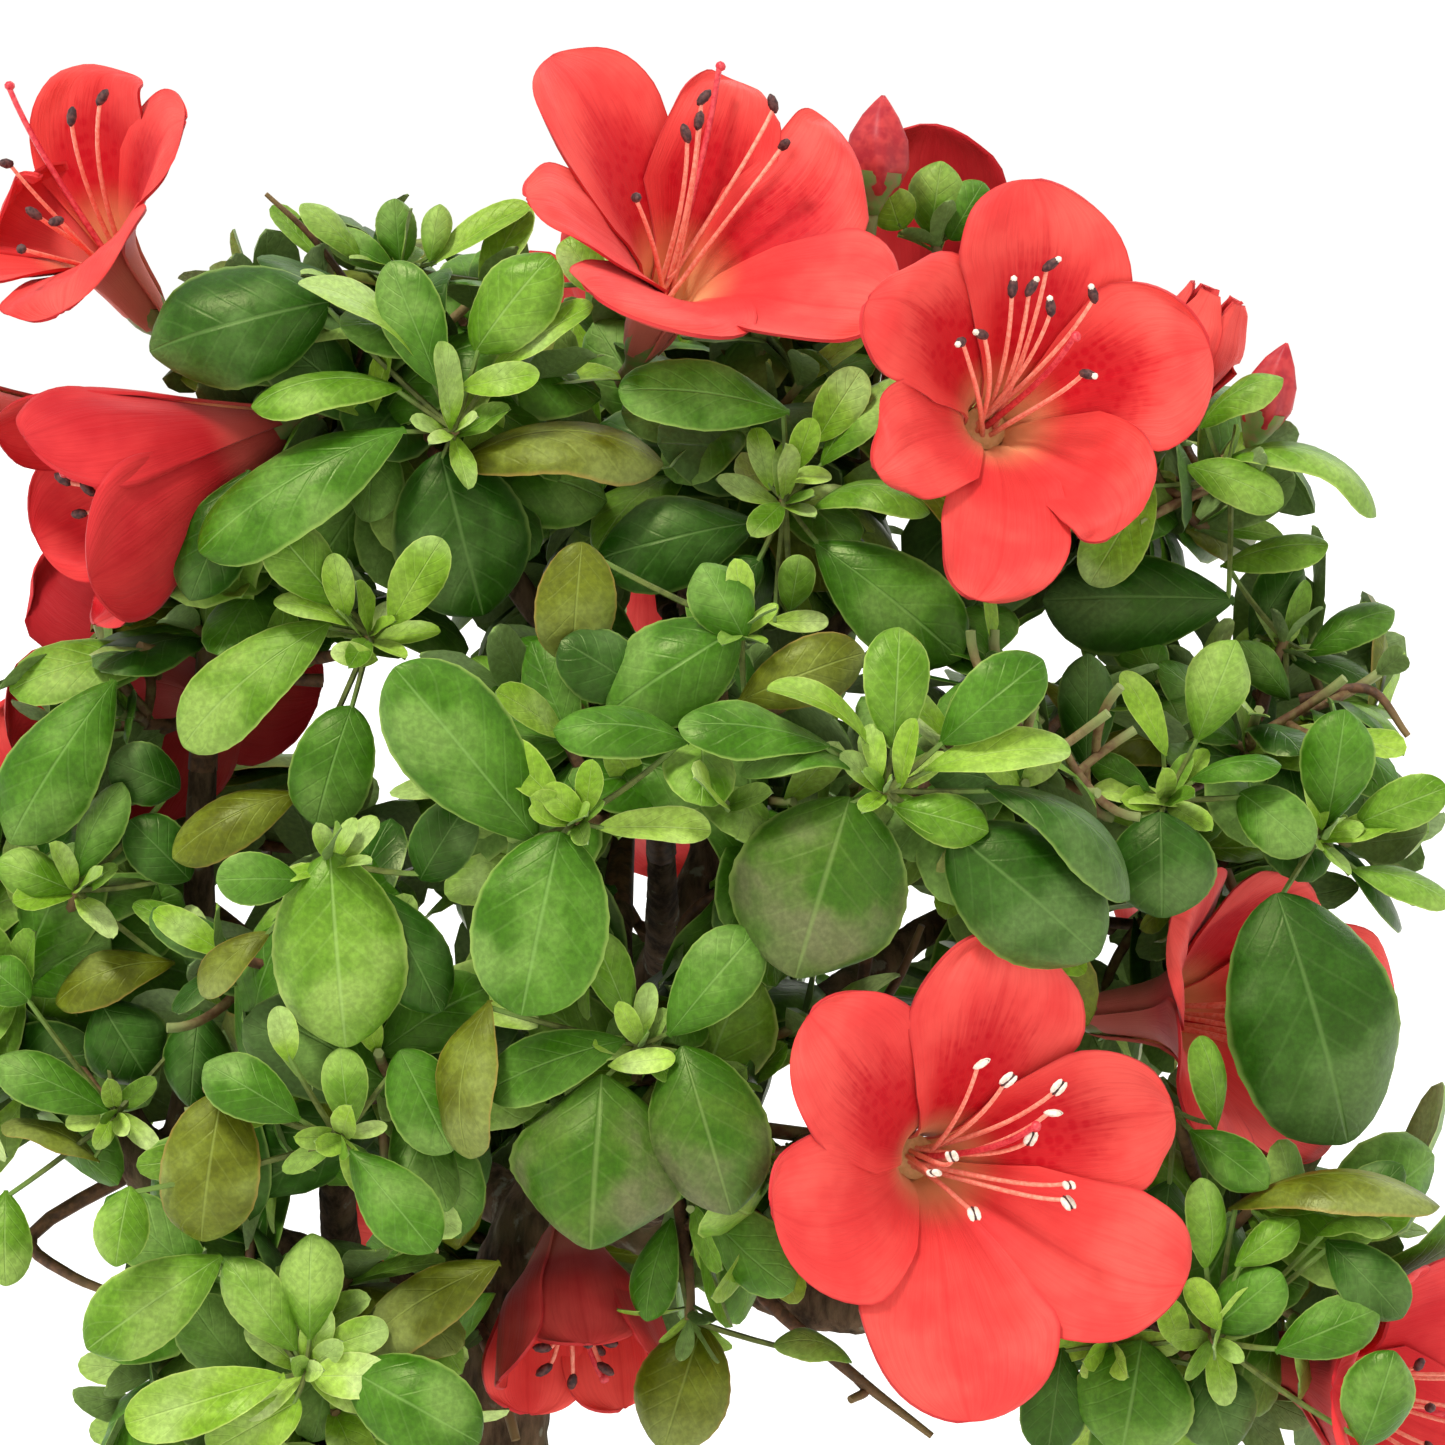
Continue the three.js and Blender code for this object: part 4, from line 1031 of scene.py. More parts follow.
def start_mass(name, number):
    """Stem, stalks of the blooms and the shoots in view; gives the joints that are left."""
    draw = np.random.default_rng(MASS_SEED + number).random
    middle, _ = mass_space(name)
    places, radii = limbs.get(name, limbs["trunk"])
    end, ahead = places[-1], unit(places[-1] - places[-2])
    start = end + 0.3 * ahead
    bend = mix(start + ahead * 0.4 * np.linalg.norm(middle - start), middle, 0.2)
    stem = max(radii[-1], 2.2)
    add_twig((start - ahead * 1.5, bend, middle), (stem * 0.97, 1.5), AGED, 8, 12)
    joints = [(mix(bend, middle, share), 1.25) for share in STEM_JOINTS]
    joints.append((mix(start, bend, 0.85), 1.3))

    for bloom in blooms:
        if bloom["mass"] == name:
            foot = bloom["base"] - STALK_JOINT * bloom["aim"]
            joint = grow_stalk(name, joints, foot, bloom)
            stalk = [joint, mix(joint, foot, 0.5), foot, foot + bloom["aim"] * 4, bloom["base"]]
            add_smooth_twig(stalk, (1.1, 1.2), GREEN, 7)
    for mass, base, aim, _, _ in BUDS:
        if mass == name:
            base, aim = np.array(base, float), unit(aim)
            foot = base - STALK_JOINT * aim
            add_twig((grow_stalk(name, joints, foot), foot, base + aim), (1.1, 1.0), GREEN)

    tips = []
    for mass, (column, row, depth), words in SHOWN_SHOOTS:
        if mass == name:
            tip = place_seen_at(column, row, depth)
            aim, found = grow_shoot(name, joints, tip)
            joint, thick, bent = found or (middle, 1.2, mix(middle, tip, 0.6))
            add_twig((joint, bent, tip), (thick, 0.75), AGED)
            leaves[name] += shown_leaves(tip, depth, words, draw)
            leaves[name] += budding(tip, aim, draw)
            tips.append(tip)
    return draw, joints, tips


def drawn_tip(name, draw):
    """The end of a shoot on the outer side of a mass, or nothing where the draw faces inwards."""
    middle, radius = mass_space(name)
    height = 2 * draw() - 1
    turn = 2 * math.pi * draw()
    level = math.sqrt(1 - height**2)
    way = np.array([level * math.cos(turn), level * math.sin(turn), height])
    if way @ outward_at(name) < mix(-0.75, 0.0, draw()):
        return None
    tip = middle + way * (radius - SHOOT_INSET) * (1 if draw() < OUTER_SHOOTS else INNER_REACH)
    while inside_mass(name, tip[None])[0] < SHOOT_CELL_MARGIN:
        tip = mix(tip, middle, 0.1)
        if np.linalg.norm(tip - middle) < 0.3 * radius:
            break
    return tip if np.linalg.norm(tip - middle) > LEAST_REACH * radius else None


def fill_mass(name, draw, joints, tips):
    """The other shoots of a mass, drawn over its outer side."""
    shown = len(tips)
    for _ in range(SHOOT_TRIES):
        if len(tips) >= shown + SHOOTS_PER_MASS:
            break
        tip = drawn_tip(name, draw)
        if tip is None or any(np.linalg.norm(tip - other) <= SHOOT_SPACING for other in tips):
            continue
        hidden = hides_bloom(tip[None]).any() or seen_through_gap(tip[None], SHOOT_SKY_SPARE).any()
        if not hidden and not above_crown(tip[None]):
            tips.append(tip)
    for tip in tips[shown:]:
        aim, found = grow_shoot(name, joints, tip)
        if found:
            joint, thick, bent = found
            add_twig((joint, bent, tip), (thick, 0.75), AGED if thick > 0.9 else GREEN)
            leaves[name] += rosette(name, tip, aim, draw)


def add_bare_twigs():
    for radii, pixels in BARE_TWIGS:
        places = [place_seen_at(*pixel) for pixel in pixels]
        if radii[0] > SPRIG_RADIUS:
            nearest = np.linalg.norm(limb_starts - places[0], axis=1).argmin()
            places.insert(0, limb_starts[nearest])
        add_smooth_twig(places, radii, AGED, 8)


started = {name: start_mass(name, number) for number, name in enumerate(MASS_NAMES)}
for name in MASS_NAMES:
    fill_mass(name, *started[name])
add_bare_twigs()

# Finishes


class Finish:
    """A node material with its shader, and short calls that add and link nodes."""

    def __init__(self, name, roughness, **constants):
        self.material = bpy.data.materials.new(name)
        self.material.use_nodes = True
        self.tree = self.material.node_tree
        self.shader = self.tree.nodes["Principled BSDF"]
        self.shader.inputs["Roughness"].default_value = roughness
        for key, value in constants.items():
            self.shader.inputs[key.replace("_", " ")].default_value = value

    def node(self, kind, *inputs, **settings):
        made = self.tree.nodes.new(kind)
        for key, value in settings.items():
            setattr(made, key, value)
        for i, value in enumerate(inputs):
            if value is not None:
                self.give(made.inputs[i], value)
        return made

    def give(self, socket, value):
        if isinstance(value, bpy.types.NodeSocket):
            self.tree.links.new(value, socket)
        else:
            socket.default_value = value

    def math(self, operation, first, second=0.0):
        return self.node("ShaderNodeMath", first, second, operation=operation).outputs[0]

    def times(self, first, second):
        return self.math("MULTIPLY", first, second)

    def plus(self, first, second):
        return self.math("ADD", first, second)

    def off_middle(self, value):
        return self.math("ABSOLUTE", self.math("SUBTRACT", value, 0.5))

    def place(self):
        return self.node("ShaderNodeTexCoord").outputs["Object"]

    def pattern(self):
        given = self.node("ShaderNodeUVMap", uv_map="pattern").outputs[0]
        spread = self.node("ShaderNodeSeparateXYZ", given)
        return spread.outputs[0], spread.outputs[1]

    def noise(self, scale, detail=3.0, roughness=0.55, where=None):
        made = self.node("ShaderNodeTexNoise")
        self.give(made.inputs["Vector"], where or self.place())
        made.inputs["Scale"].default_value = scale
        made.inputs["Detail"].default_value = detail
        made.inputs["Roughness"].default_value = roughness
        return made.outputs[0]

    def ramp(self, value, low, high, first=0.0, last=1.0):
        limits = (low, high, first, last)
        made = self.node("ShaderNodeMapRange", value, *limits, interpolation_type="SMOOTHSTEP")
        return made.outputs[0]

    def fall(self, value, low, high):
        return self.ramp(value, low, high, 1.0, 0.0)

    def blend(self, share, first, second, kind="MIX"):
        made = self.node("ShaderNodeMix", data_type="RGBA", blend_type=kind)
        self.give(made.inputs[0], share)
        self.give(made.inputs[6], first if isinstance(first, bpy.types.NodeSocket) else (*first, 1))
        self.give(made.inputs[7], second if isinstance(second, bpy.types.NodeSocket) else (*second, 1))
        return made.outputs[2]

    def colour(self, socket):
        self.give(self.shader.inputs["Base Color"], socket)

    def rough(self, socket):
        self.give(self.shader.inputs["Roughness"], socket)

    def bump(self, height, distance, strength):
        made = self.node("ShaderNodeBump")
        made.inputs["Strength"].default_value = strength
        made.inputs["Distance"].default_value = distance
        self.give(made.inputs["Height"], height)
        self.give(self.shader.inputs["Normal"], made.outputs[0])


# patterns of a leaf: scales of its patchy tone, painted sheen and mottle, number and slant of its side
# veins
PATCH_SCALE = 110
SHEEN_NOISE_SCALE = 55
MOTTLE_SCALE = 1300
SIDE_VEINS = 6.5
VEIN_SLANT = 4.4


def leaf_finish(name, gloss, base, light, sheen_tone, vein, margin):
    """Dark near the leaf's root from painted shade, patchy lighter tone elsewhere, and a painted sheen
    greying the outer half.
    """
    finish = Finish(name, gloss, Specular_IOR_Level=0.38, Specular_Tint=(0.9, 1, 0.45, 1))
    across, along = finish.pattern()
    off_rib = finish.off_middle(across)
    rib = finish.fall(off_rib, 0.004, 0.024)
    slant = finish.math("SUBTRACT", finish.times(along, SIDE_VEINS), finish.times(off_rib, VEIN_SLANT))
    wave = finish.off_middle(finish.math("FRACT", slant))
    side = finish.times(finish.fall(wave, 0.0, 0.1), finish.fall(off_rib, 0.32, 0.46))
    veins = finish.math("MAXIMUM", rib, finish.times(side, 0.28))
    broad = finish.noise(PATCH_SCALE, 3)
    # lighter tone in random spots, fading out towards the root, where painted shade keeps the blade at
    # its dark base tone
    patches_and_root_shade = finish.times(finish.ramp(broad, 0.32, 0.68), finish.ramp(along, 0.05, 0.5, 0.35, 1.0))
    blade = finish.blend(patches_and_root_shade, base, light)
    # painted sheen: a pale grey-green mixed over the outer half of the blade, standing in for the sky's
    # reflection
    outer = finish.plus(along, finish.times(finish.math("SUBTRACT", broad, 0.5), 1.6))
    sheen_noise_mask = finish.ramp(finish.noise(SHEEN_NOISE_SCALE, 2), 0.42, 0.62)
    painted_sheen = finish.times(finish.ramp(outer, 0.3, 0.85), sheen_noise_mask)
    blade = finish.blend(finish.times(painted_sheen, 0.8), blade, sheen_tone)
    fine = finish.noise(MOTTLE_SCALE, 3)
    mottle = finish.ramp(fine, 0.3, 0.75, 0.78, 1.14)
    grey = finish.node("ShaderNodeCombineColor", mottle, mottle, mottle).outputs[0]
    blade = finish.blend(1.0, blade, grey, "MULTIPLY")
    blade = finish.blend(finish.times(veins, 0.42), blade, vein)
    edge = finish.ramp(off_rib, 0.46, 0.5)
    finish.colour(finish.blend(finish.times(edge, 0.6), blade, margin))
    finish.rough(finish.ramp(broad, 0.3, 0.7, gloss - 0.08, gloss + 0.12))
    finish.bump(finish.plus(finish.times(veins, -0.8), finish.times(fine, 0.4)), 0.0003, 0.55)
    return finish.material


THROAT_TONE = (0.95, 0.55, 0.24)
STAIN_TONE = (0.5, 0.0, 0.008)
RIM_TONE = (0.42, 0.01, 0.016)
# darker red of the petal's veins and of the painted shade along its rib and in its heart
VEIN_AND_SHADE_TINT = (1, 0.45, 0.6)
SPOT_SCALE = 620


def petal_stain(finish, along, side, grain):
    """How strongly the stain above the throat shows, with its dots."""
    spots = finish.node("ShaderNodeTexVoronoi")
    finish.give(spots.inputs["Vector"], finish.place())
    spots.inputs["Scale"].default_value = SPOT_SCALE
    dots = finish.fall(spots.outputs["Distance"], 0.25, 0.55)
    reach = finish.plus(finish.plus(along, finish.times(side, 0.2)), finish.times(grain, 0.36))
    zone = finish.times(finish.ramp(along, 0.24, 0.34), finish.fall(reach, 0.74, 1.0))
    zone = finish.times(zone, finish.fall(side, 0.5, 0.95))
    return finish.times(zone, finish.plus(0.8, finish.times(dots, 0.2)))


def petal_finish(name, first, second, throat_tone=THROAT_TONE, throat_share=0.9, marked=False):
    """Red with darker grain, painted shade along the rib and towards the heart, and a pale throat; a
    marked petal has the stain.
    """
    finish = Finish(name, 0.55, Specular_IOR_Level=0.16, Sheen_Weight=0.06, Sheen_Roughness=0.5)
    across, along = finish.pattern()
    side = finish.times(finish.off_middle(across), 2.0)
    spread = (finish.times(across, 26.0), finish.times(along, 2.2), 0.0)
    stretched = finish.node("ShaderNodeCombineXYZ", *spread)
    grain = finish.noise(1.6, 3, 0.6, stretched.outputs[0])
    blush = finish.ramp(finish.noise(90, 3), 0.3, 0.7)
    base = finish.blend(blush, first, second)
    vein_and_shade_red = tuple(0.8 * tone * share for tone, share in zip(first, VEIN_AND_SHADE_TINT))
    # grain: the petal's own veins; rib and heart: painted shade in the groove along each petal and down
    # in the cup
    for shown, strength in (
        (finish.ramp(grain, 0.42, 0.62), 0.16),
        (finish.fall(side, 0.0, 0.07), 0.3),
        (finish.fall(along, 0.34, 0.8), 0.5),
    ):
        base = finish.blend(finish.times(shown, strength), base, vein_and_shade_red)
    if marked:
        base = finish.blend(petal_stain(finish, along, side, grain), base, STAIN_TONE)
    throat = finish.fall(along, 0.2, 0.37)
    base = finish.blend(finish.times(throat, throat_share), base, throat_tone)
    edge = finish.times(finish.ramp(side, 0.955, 1.0), finish.ramp(along, 0.5, 0.7))
    rim = finish.math("MAXIMUM", finish.ramp(along, 0.988, 1.0), edge)
    finish.colour(finish.blend(finish.times(rim, 0.6), base, RIM_TONE))
    finish.bump(grain, 0.0004, 0.35)
    return finish.material


def bark_finish():
    finish = Finish("bark", 0.85, Specular_IOR_Level=0.2)
    long = finish.node("ShaderNodeMapping", finish.place())
    long.inputs["Scale"].default_value = (1, 1, 0.3)
    grain = finish.noise(420, 5, 0.65, long.outputs[0])
    base = finish.blend(finish.ramp(grain, 0.3, 0.7), (0.028, 0.017, 0.009), (0.15, 0.092, 0.05))
    moss = finish.times(finish.ramp(finish.noise(60, 3), 0.5, 0.68), 0.55)
    base = finish.blend(moss, base, (0.12, 0.11, 0.045))
    flecks = finish.times(finish.ramp(finish.noise(260, 4), 0.6, 0.68), 0.55)
    finish.colour(finish.blend(flecks, base, (0.26, 0.27, 0.2)))
    finish.rough(finish.ramp(grain, 0.3, 0.7, 0.95, 0.75))
    finish.bump(grain, 0.0009, 0.7)
    return finish.material


def twig_finish(name, first, second, tip):
    finish = Finish(name, 0.6, Specular_IOR_Level=0.3)
    _, along = finish.pattern()
    rough = finish.noise(700, 4)
    base = finish.blend(finish.ramp(rough, 0.35, 0.65), first, second)
    finish.colour(finish.blend(finish.ramp(along, 0.55, 1.0), base, tip))
    finish.bump(rough, 0.0004, 0.6)
    return finish.material


def plain_finish(name, first, second, roughness, scale=1500):
    finish = Finish(name, roughness, Specular_IOR_Level=0.35)
    grain = finish.noise(scale, 2)
    finish.colour(finish.blend(finish.ramp(grain, 0.35, 0.65), first, second))
    finish.bump(grain, 0.0002, 0.5)
    return finish.material


# Wood: trunk and boughs in one skin, with the bark's relief

TRUNK_SIDES = 40
BOUGH_SIDES = 16
SKIN_STEP = 0.75
FOOT_LEVEL = 0.6
POINT_BLOCK = 4000


def root_flare(angles, places):
    root = 0.5 + 0.5 * np.cos(5 * angles + 0.6)
    return 1 + 0.55 * root * np.exp(-places[:, 2:3] / 9)


def nearest_limb_radius(points):
    """The radius of the nearest limb at each place, block by block."""
    blocks = [points[start : start + POINT_BLOCK] for start in range(0, len(points), POINT_BLOCK)]
    return np.concatenate([limb_radii[limb_gaps(block).argmin(1)] for block in blocks])


def bark_relief(x, y, z):
    coarse = noise.noise(Vector((x * 330, y * 330, z * 95)))
    fine = noise.noise(Vector((x * 800, y * 800, z * 330)))
    return 0.6 * coarse + 0.4 * fine


def vertex_values(mesh, what):
    values = np.empty(len(mesh.vertices) * 3, np.float32)
    mesh.vertices.foreach_get(what, values)
    return values.reshape(-1, 3)


def apply_change(made, kind, **settings):
    change = made.modifiers.new(kind, kind)
    for key, value in settings.items():
        setattr(change, key, value)
    bpy.ops.object.modifier_apply(modifier=change.name)


def make_wood():
    wood = Pile()
    for name, (places, radii) in limbs.items():
        if name == "trunk":
            wood.add_tube(0, places, radii, TRUNK_SIDES, root_flare, UP)
        else:
            wood.add_tube(0, places, radii, BOUGH_SIDES)
    nodes = ["trunk", *("bough_" + name for name in BOUGHS)]
    made = wood.piece("wood", [bark_finish()], "bark", nodes)
    bpy.context.view_layer.objects.active = made
    made.select_set(True)
    apply_change(made, "REMESH", mode="VOXEL", voxel_size=SKIN_STEP * MM)
    apply_change(made, "SMOOTH", factor=0.5, iterations=3)
    made.select_set(False)
    mesh = made.data
    places = vertex_values(mesh, "co").astype(float)
    relief = np.array([bark_relief(*place) for place in places])
    push = relief * (0.12 + 0.11 * nearest_limb_radius(places / MM)) * MM
    push[places[:, 2] < FOOT_LEVEL * MM] = 0
    places = places + vertex_values(mesh, "normal") * push[:, None]
    places[:, 2] = np.maximum(places[:, 2], 0)
    mesh.vertices.foreach_set("co", places.astype(np.float32).ravel())
    mesh.update()
    mesh.shade_smooth()


make_wood()

twigs.piece(
    "twigs",
    [
        twig_finish("young_wood", (0.07, 0.035, 0.018), (0.16, 0.075, 0.035), (0.2, 0.13, 0.05)),
        twig_finish("green_shoot", (0.15, 0.07, 0.03), (0.22, 0.16, 0.06), (0.25, 0.3, 0.1)),
        twig_finish("leaf_stem", (0.07, 0.09, 0.015), (0.13, 0.16, 0.03), (0.14, 0.24, 0.04)),
    ],
    "bark",
    [],
)

# Leaves as joined meshes

LEAF_GLOSS = 0.42
UNDERSIDE_GLOSS = 0.6
# tones of base, light parts, painted sheen, veins and margin, for UNDERSIDE, DARK, MID and so on
LEAF_TONES = {
    "underside": "0.17 0.27 0.07  0.23 0.35 0.11  0.27 0.37 0.17  0.3 0.43 0.17  0.27 0.37 0.13",
    "dark": "0.012 0.06 0.002  0.035 0.12 0.01  0.09 0.165 0.045  0.13 0.24 0.06  0.22 0.33 0.07",
    "mid": "0.034 0.125 0.003  0.088 0.235 0.018  0.165 0.29 0.06  0.21 0.38 0.09  0.32 0.45 0.1",
    "fresh": "0.085 0.21 0.008  0.185 0.35 0.035  0.28 0.42 0.09  0.33 0.5 0.14  0.42 0.54 0.13",
    "olive": "0.08 0.09 0.002  0.17 0.215 0.014  0.22 0.26 0.07  0.28 0.34 0.07  0.33 0.2 0.05",
    "young": "0.17 0.33 0.015  0.3 0.47 0.05  0.36 0.5 0.16  0.44 0.6 0.16  0.5 0.6 0.15",
    "tender": "0.3 0.48 0.05  0.44 0.62 0.12  0.5 0.63 0.24  0.56 0.7 0.25  0.55 0.63 0.22",
    "bronzed": "0.03 0.105 0.003  0.085 0.16 0.016  0.15 0.145 0.075  0.2 0.3 0.08  0.26 0.36 0.08",
}
leaf_finishes = []
for leaf_name, words in LEAF_TONES.items():
    tones = np.array(words.split(), float).reshape(-1, 3).tolist()
    gloss = UNDERSIDE_GLOSS if leaf_name == "underside" else LEAF_GLOSS
    leaf_finishes.append(leaf_finish("leaf_" + leaf_name, gloss, *tones))

LEAF_PIECES = {
    "leaves_front": ["front", "front_right", "front_left", "low_front"],
    "leaves_low": ["low_left", "low_right", "left_low"],
    "leaves_upper": ["top_left", "top", "top_right", "left_up", "right"],
    "leaves_back": ["back_top", "back_left", "back_right", "back", "low_back"],
}
for piece_name, masses in LEAF_PIECES.items():
    pile = Pile()
    for leaf in [each for name in masses for each in leaves[name]]:
        grade = leaf_grade(leaf)
        top, under = leaf_points(leaf, grade)
        points = np.concatenate([top.reshape(-1, 3), under])
        pile.add(points, grade.faces, grade.finishes(leaf["tint"]), grade.pattern)
    pile.piece(piece_name, leaf_finishes, "foliage", ["foliage_" + name for name in masses])

# Blooms: grids of the petals, limits, then marks along a bloom's axis and radii there

PETAL_GRID = (26, 17)
FAR_PETAL_GRID = (14, 11)
PETAL_THICKNESS = 0.45
THROAT_SHARE = 0.42
TIP_HEIGHT = 0.97
LARGEST_REACH = 1.1
MARKED_REACH = 15
FACES_BACK = 0.3
CUSHION_MARKS = np.array([0.14, 0.2, 0.26, 0.275, 0.28])
CUSHION_RADII = np.array([0.4, 0.5, 0.62, 0.4, 0.12])
STAMEN_FOOT = 0.26
STAMEN_STEPS = 12
CALYX_MARKS = np.array([-4.0, -2.5, -0.8, 0.8, 2.4, 3.6])
CALYX_RADII = np.array([1.15, 1.5, 2.3, 2.75, 2.95, 3.0])
BUD_CALYX_MARKS = np.array([-2.0, -0.5, 1.0, 2.6, 4.2])
CUP_SIDES = 20
BUD_SIDES = 30
# a closed bud's radii, and where along it they are
BUD_MARKS = [0, 0.12, 0.35, 0.6, 0.8, 0.93, 1]
BUD_RADII = [0.3, 0.72, 1, 0.9, 0.58, 0.26, 0.06]


def bloom_turn(bloom):
    turned = Vector((0, 0, 1)).rotation_difference(Vector(bloom["aim"])).to_matrix()
    return np.array(turned @ Matrix.Rotation(bloom["turn"], 3, "Z"))


def petal_plan(bloom, turn, draw):
    """For each petal: where it starts round the tube, and where its tip is and how far out."""
    lobes = bloom["lobes"]
    seen = PETAL_TIPS.get(bloom["name"])
    if not seen:
        angles = 2 * math.pi * (np.arange(lobes) + 0.5) / lobes
        sway = np.array([mix(-0.12, 0.12, draw()) for _ in range(lobes)])
        return angles, angles + sway, np.array([bloom["lobe"] * mix(0.93, 1.04, draw()) for _ in angles])
    plane = bloom["base"] + bloom["aim"] * bloom["height"] * TIP_HEIGHT
    places = np.array([seen_on_plane(*pixel, plane, bloom["aim"]) for pixel in seen])
    flat = (places - bloom["base"]) @ turn
    tips = np.unwrap(np.arctan2(flat[:, 1], flat[:, 0]))
    way = np.sign(tips[-1] - tips[0])
    even = way * 2 * math.pi * np.arange(len(tips)) / len(tips)
    reach = np.minimum(np.hypot(flat[:, 0], flat[:, 1]), bloom["lobe"] * LARGEST_REACH)
    return even + np.mean(tips - even), tips, reach


def petal_profile(bloom, reach, along, draw):
    """A petal's distance from the bloom's axis and its height, from the base to the tip."""
    base, tube_radius, throat = bloom["base_radius"], bloom["tube"], bloom["throat"]
    if bloom["opening"] == "bell":
        radii = [base, 1.5 * tube_radius, 1.2 * throat, 0.82 * reach, 0.9 * reach]
        heights = [0, 0.28, 0.5, 0.78, mix(0.96, 1.06, draw())]
        marks = [0, 0.28, 0.5, 0.78, 1]
    elif bloom["opening"] == "wide":
        radii = [base, tube_radius, throat, mix(throat, reach, 0.42), mix(throat, reach, 0.78), reach]
        heights = [0, 0.45, 0.7, 0.865, mix(0.955, 0.985, draw()), mix(0.92, 1.0, draw())]
        marks = [0, 0.28, THROAT_SHARE, 0.64, 0.85, 1]
    else:
        radii = [base, tube_radius, throat, mix(throat, reach, 0.6), reach]
        heights = [0, 0.45, 0.7, 0.88, 1]
        marks = [0, 0.4, 0.66, 0.86, 1]
    line = np.array([radii, bloom["height"] * np.array(heights)]).T
    shares = np.interp(along, marks, np.linspace(0, 1, len(marks)))
    return np.array([smooth_line(line, share) for share in shares]).T


def round_end(share, start, power):
    """1 up to a share of the petal, then down to 0 in a round end."""
    return np.sqrt(np.clip(1 - np.clip((share - start) / (1 - start), 0, 1) ** power, 0, 1))


def petal_half(bloom, reach, spacing, along, past, radius):
    """Half the width of a petal at each row."""
    cover = math.pi / bloom["lobes"] * radius
    if bloom["opening"] == "bell":
        return cover * mix(1.15, 1.3, along) * np.maximum(round_end(along, 0.62, 2.6), 0.02)
    if bloom["opening"] == "closed":
        return cover * 1.25 * np.where(along > 0.8, 1 - 0.5 * (along - 0.8) / 0.2, 1)
    broad = reach * 0.83 * math.sin(min(spacing / 2, 0.72))
    lobe = mix(1.35 * math.pi / bloom["lobes"] * bloom["throat"], broad, np.clip(past / 0.5, 0, 1))
    lobe *= round_end(past, 0.36, 2.1)
    return np.where(past > 0, np.maximum(lobe, 0.02), cover * mix(1.1, 1.35, along / THROAT_SHARE))


def petal_lift(bloom, along, past, across, draw):
    """How far a petal stands off its even form: waves, rolled sides, rib and folds."""
    along, past = along[:, None], past[:, None]
    phase = 2 * math.pi * draw()
    ripple = np.sin(across * 3.4 + 5 * along + phase)
    ripple = ripple + 0.5 * np.sin(12 * along + 7 * across - phase)
    flutter = 0.2 if bloom["opening"] == "closed" else 1.0
    lift = 1.2 * past**1.2 * np.abs(across) ** 1.5 * ripple * flutter
    lift = lift + mix(-1.7, 0.2, draw()) * past * across**2 + 0.5 * across
    lift = lift * np.minimum(1, (1 - along) / 0.06)
    middle = np.sin(math.pi * past)
    lift = lift - 0.5 * np.exp(-((across / 0.12) ** 2)) * middle
    folds = np.sin(3 * math.pi * across + 2 * phase) * middle**0.7
    return lift + 0.22 * folds


def petal_sheet(bloom, start, tip, reach, spacing, along, across, draw):
    """The upper skin of one petal in the bloom's own frame, from the base to the tip."""
    past = np.clip((along - THROAT_SHARE) / (1 - THROAT_SHARE), 0, 1)
    radius, height = petal_profile(bloom, reach, along, draw)
    half = petal_half(bloom, reach, spacing, along, past, radius)
    angle = mix(start, tip, past**1.6)[:, None] + across * (half / np.maximum(radius, 0.5))[:, None]
    lift = petal_lift(bloom, along, past, across, draw)
    slope = np.gradient(height, radius + 1e-3 * np.arange(len(along)))
    lean = np.arctan(np.clip(slope, -5, 5))[:, None]
    distance = radius[:, None] - lift * np.sin(lean)
    level = height[:, None] + lift * np.cos(lean)
    return np.stack([distance * np.cos(angle), distance * np.sin(angle), level], 2)


def grid_quads(index):
    corners = [index[:-1, :-1], index[1:, :-1], index[1:, 1:], index[:-1, 1:]]
    return np.stack(corners, 2).reshape(-1, 4)


def sheet_faces(rows, columns):
    """Faces of a sheet's upper skin and of its underside, which share the edges."""
    index = np.arange(rows * columns).reshape(rows, columns)
    back_index = index + rows * columns
    for edge in (np.s_[0, :], np.s_[-1, :], np.s_[:, 0], np.s_[:, -1]):
        back_index[edge] = index[edge]
    return [grid_quads(index), grid_quads(back_index)[:, [0, 3, 2, 1]]]


def sheet_normals(points):
    normal = np.cross(np.gradient(points, axis=0), np.gradient(points, axis=1))
    return normal / np.maximum(np.linalg.norm(normal, axis=2), 1e-9)[..., None]


petals = {"petals_front": Pile(), "petals_back": Pile()}
inner_parts = Pile()
cups = Pile()
FILAMENT, ANTHER, ANTHER_TIP, STYLE, CUSHION = range(5)
PETAL, PETAL_MARKED, BUD_SKIN, PETAL_SHADED_DEEP, PETAL_OUTSIDE, PETAL_OUTSIDE_SHADED_DEEP = range(6)


def add_ball(finish, centre, way, long, wide, rings=5, sides=8):
    heights = -np.cos(np.linspace(0.12, math.pi - 0.12, rings))
    places = centre + np.outer(heights * long, way)
    inner_parts.add_tube(finish, places, wide * np.sqrt(1 - heights**2 * 0.98), sides, None, way)


def stamen_ends(bloom, turn, draw):
    """Where the stamens end, the style's end last."""
    base, aim, high = bloom["base"], bloom["aim"], bloom["height"]
    seen = ANTHER_PLACES.get(bloom["name"])
    if seen:
        ends = []
        for pixel in [*seen, STYLE_PLACES[bloom["name"]]]:
            plane = base + aim * high * mix(1.02, 1.14, draw())
            ends.append(seen_on_plane(*pixel, plane, aim))
        return ends
    down = -UP - aim * (-UP @ aim)
    down = down / max(np.linalg.norm(down), 0.2)
    ends = []
    for k in range(9):
        angle = 2 * math.pi * k / 8 + 0.5 * draw()
        out = turn @ np.array([math.cos(angle), math.sin(angle), 0])
        rise = mix(*((0.7, 0.95) if bloom["opening"] == "bell" else (0.98, 1.2)), draw())
        end = base + aim * high * (rise + 0.1 * (k == 8))
        end = end + (out * mix(4, 9, draw()) + down * mix(2, 6, draw())) * high / 33
        ends.append(end)
    return ends


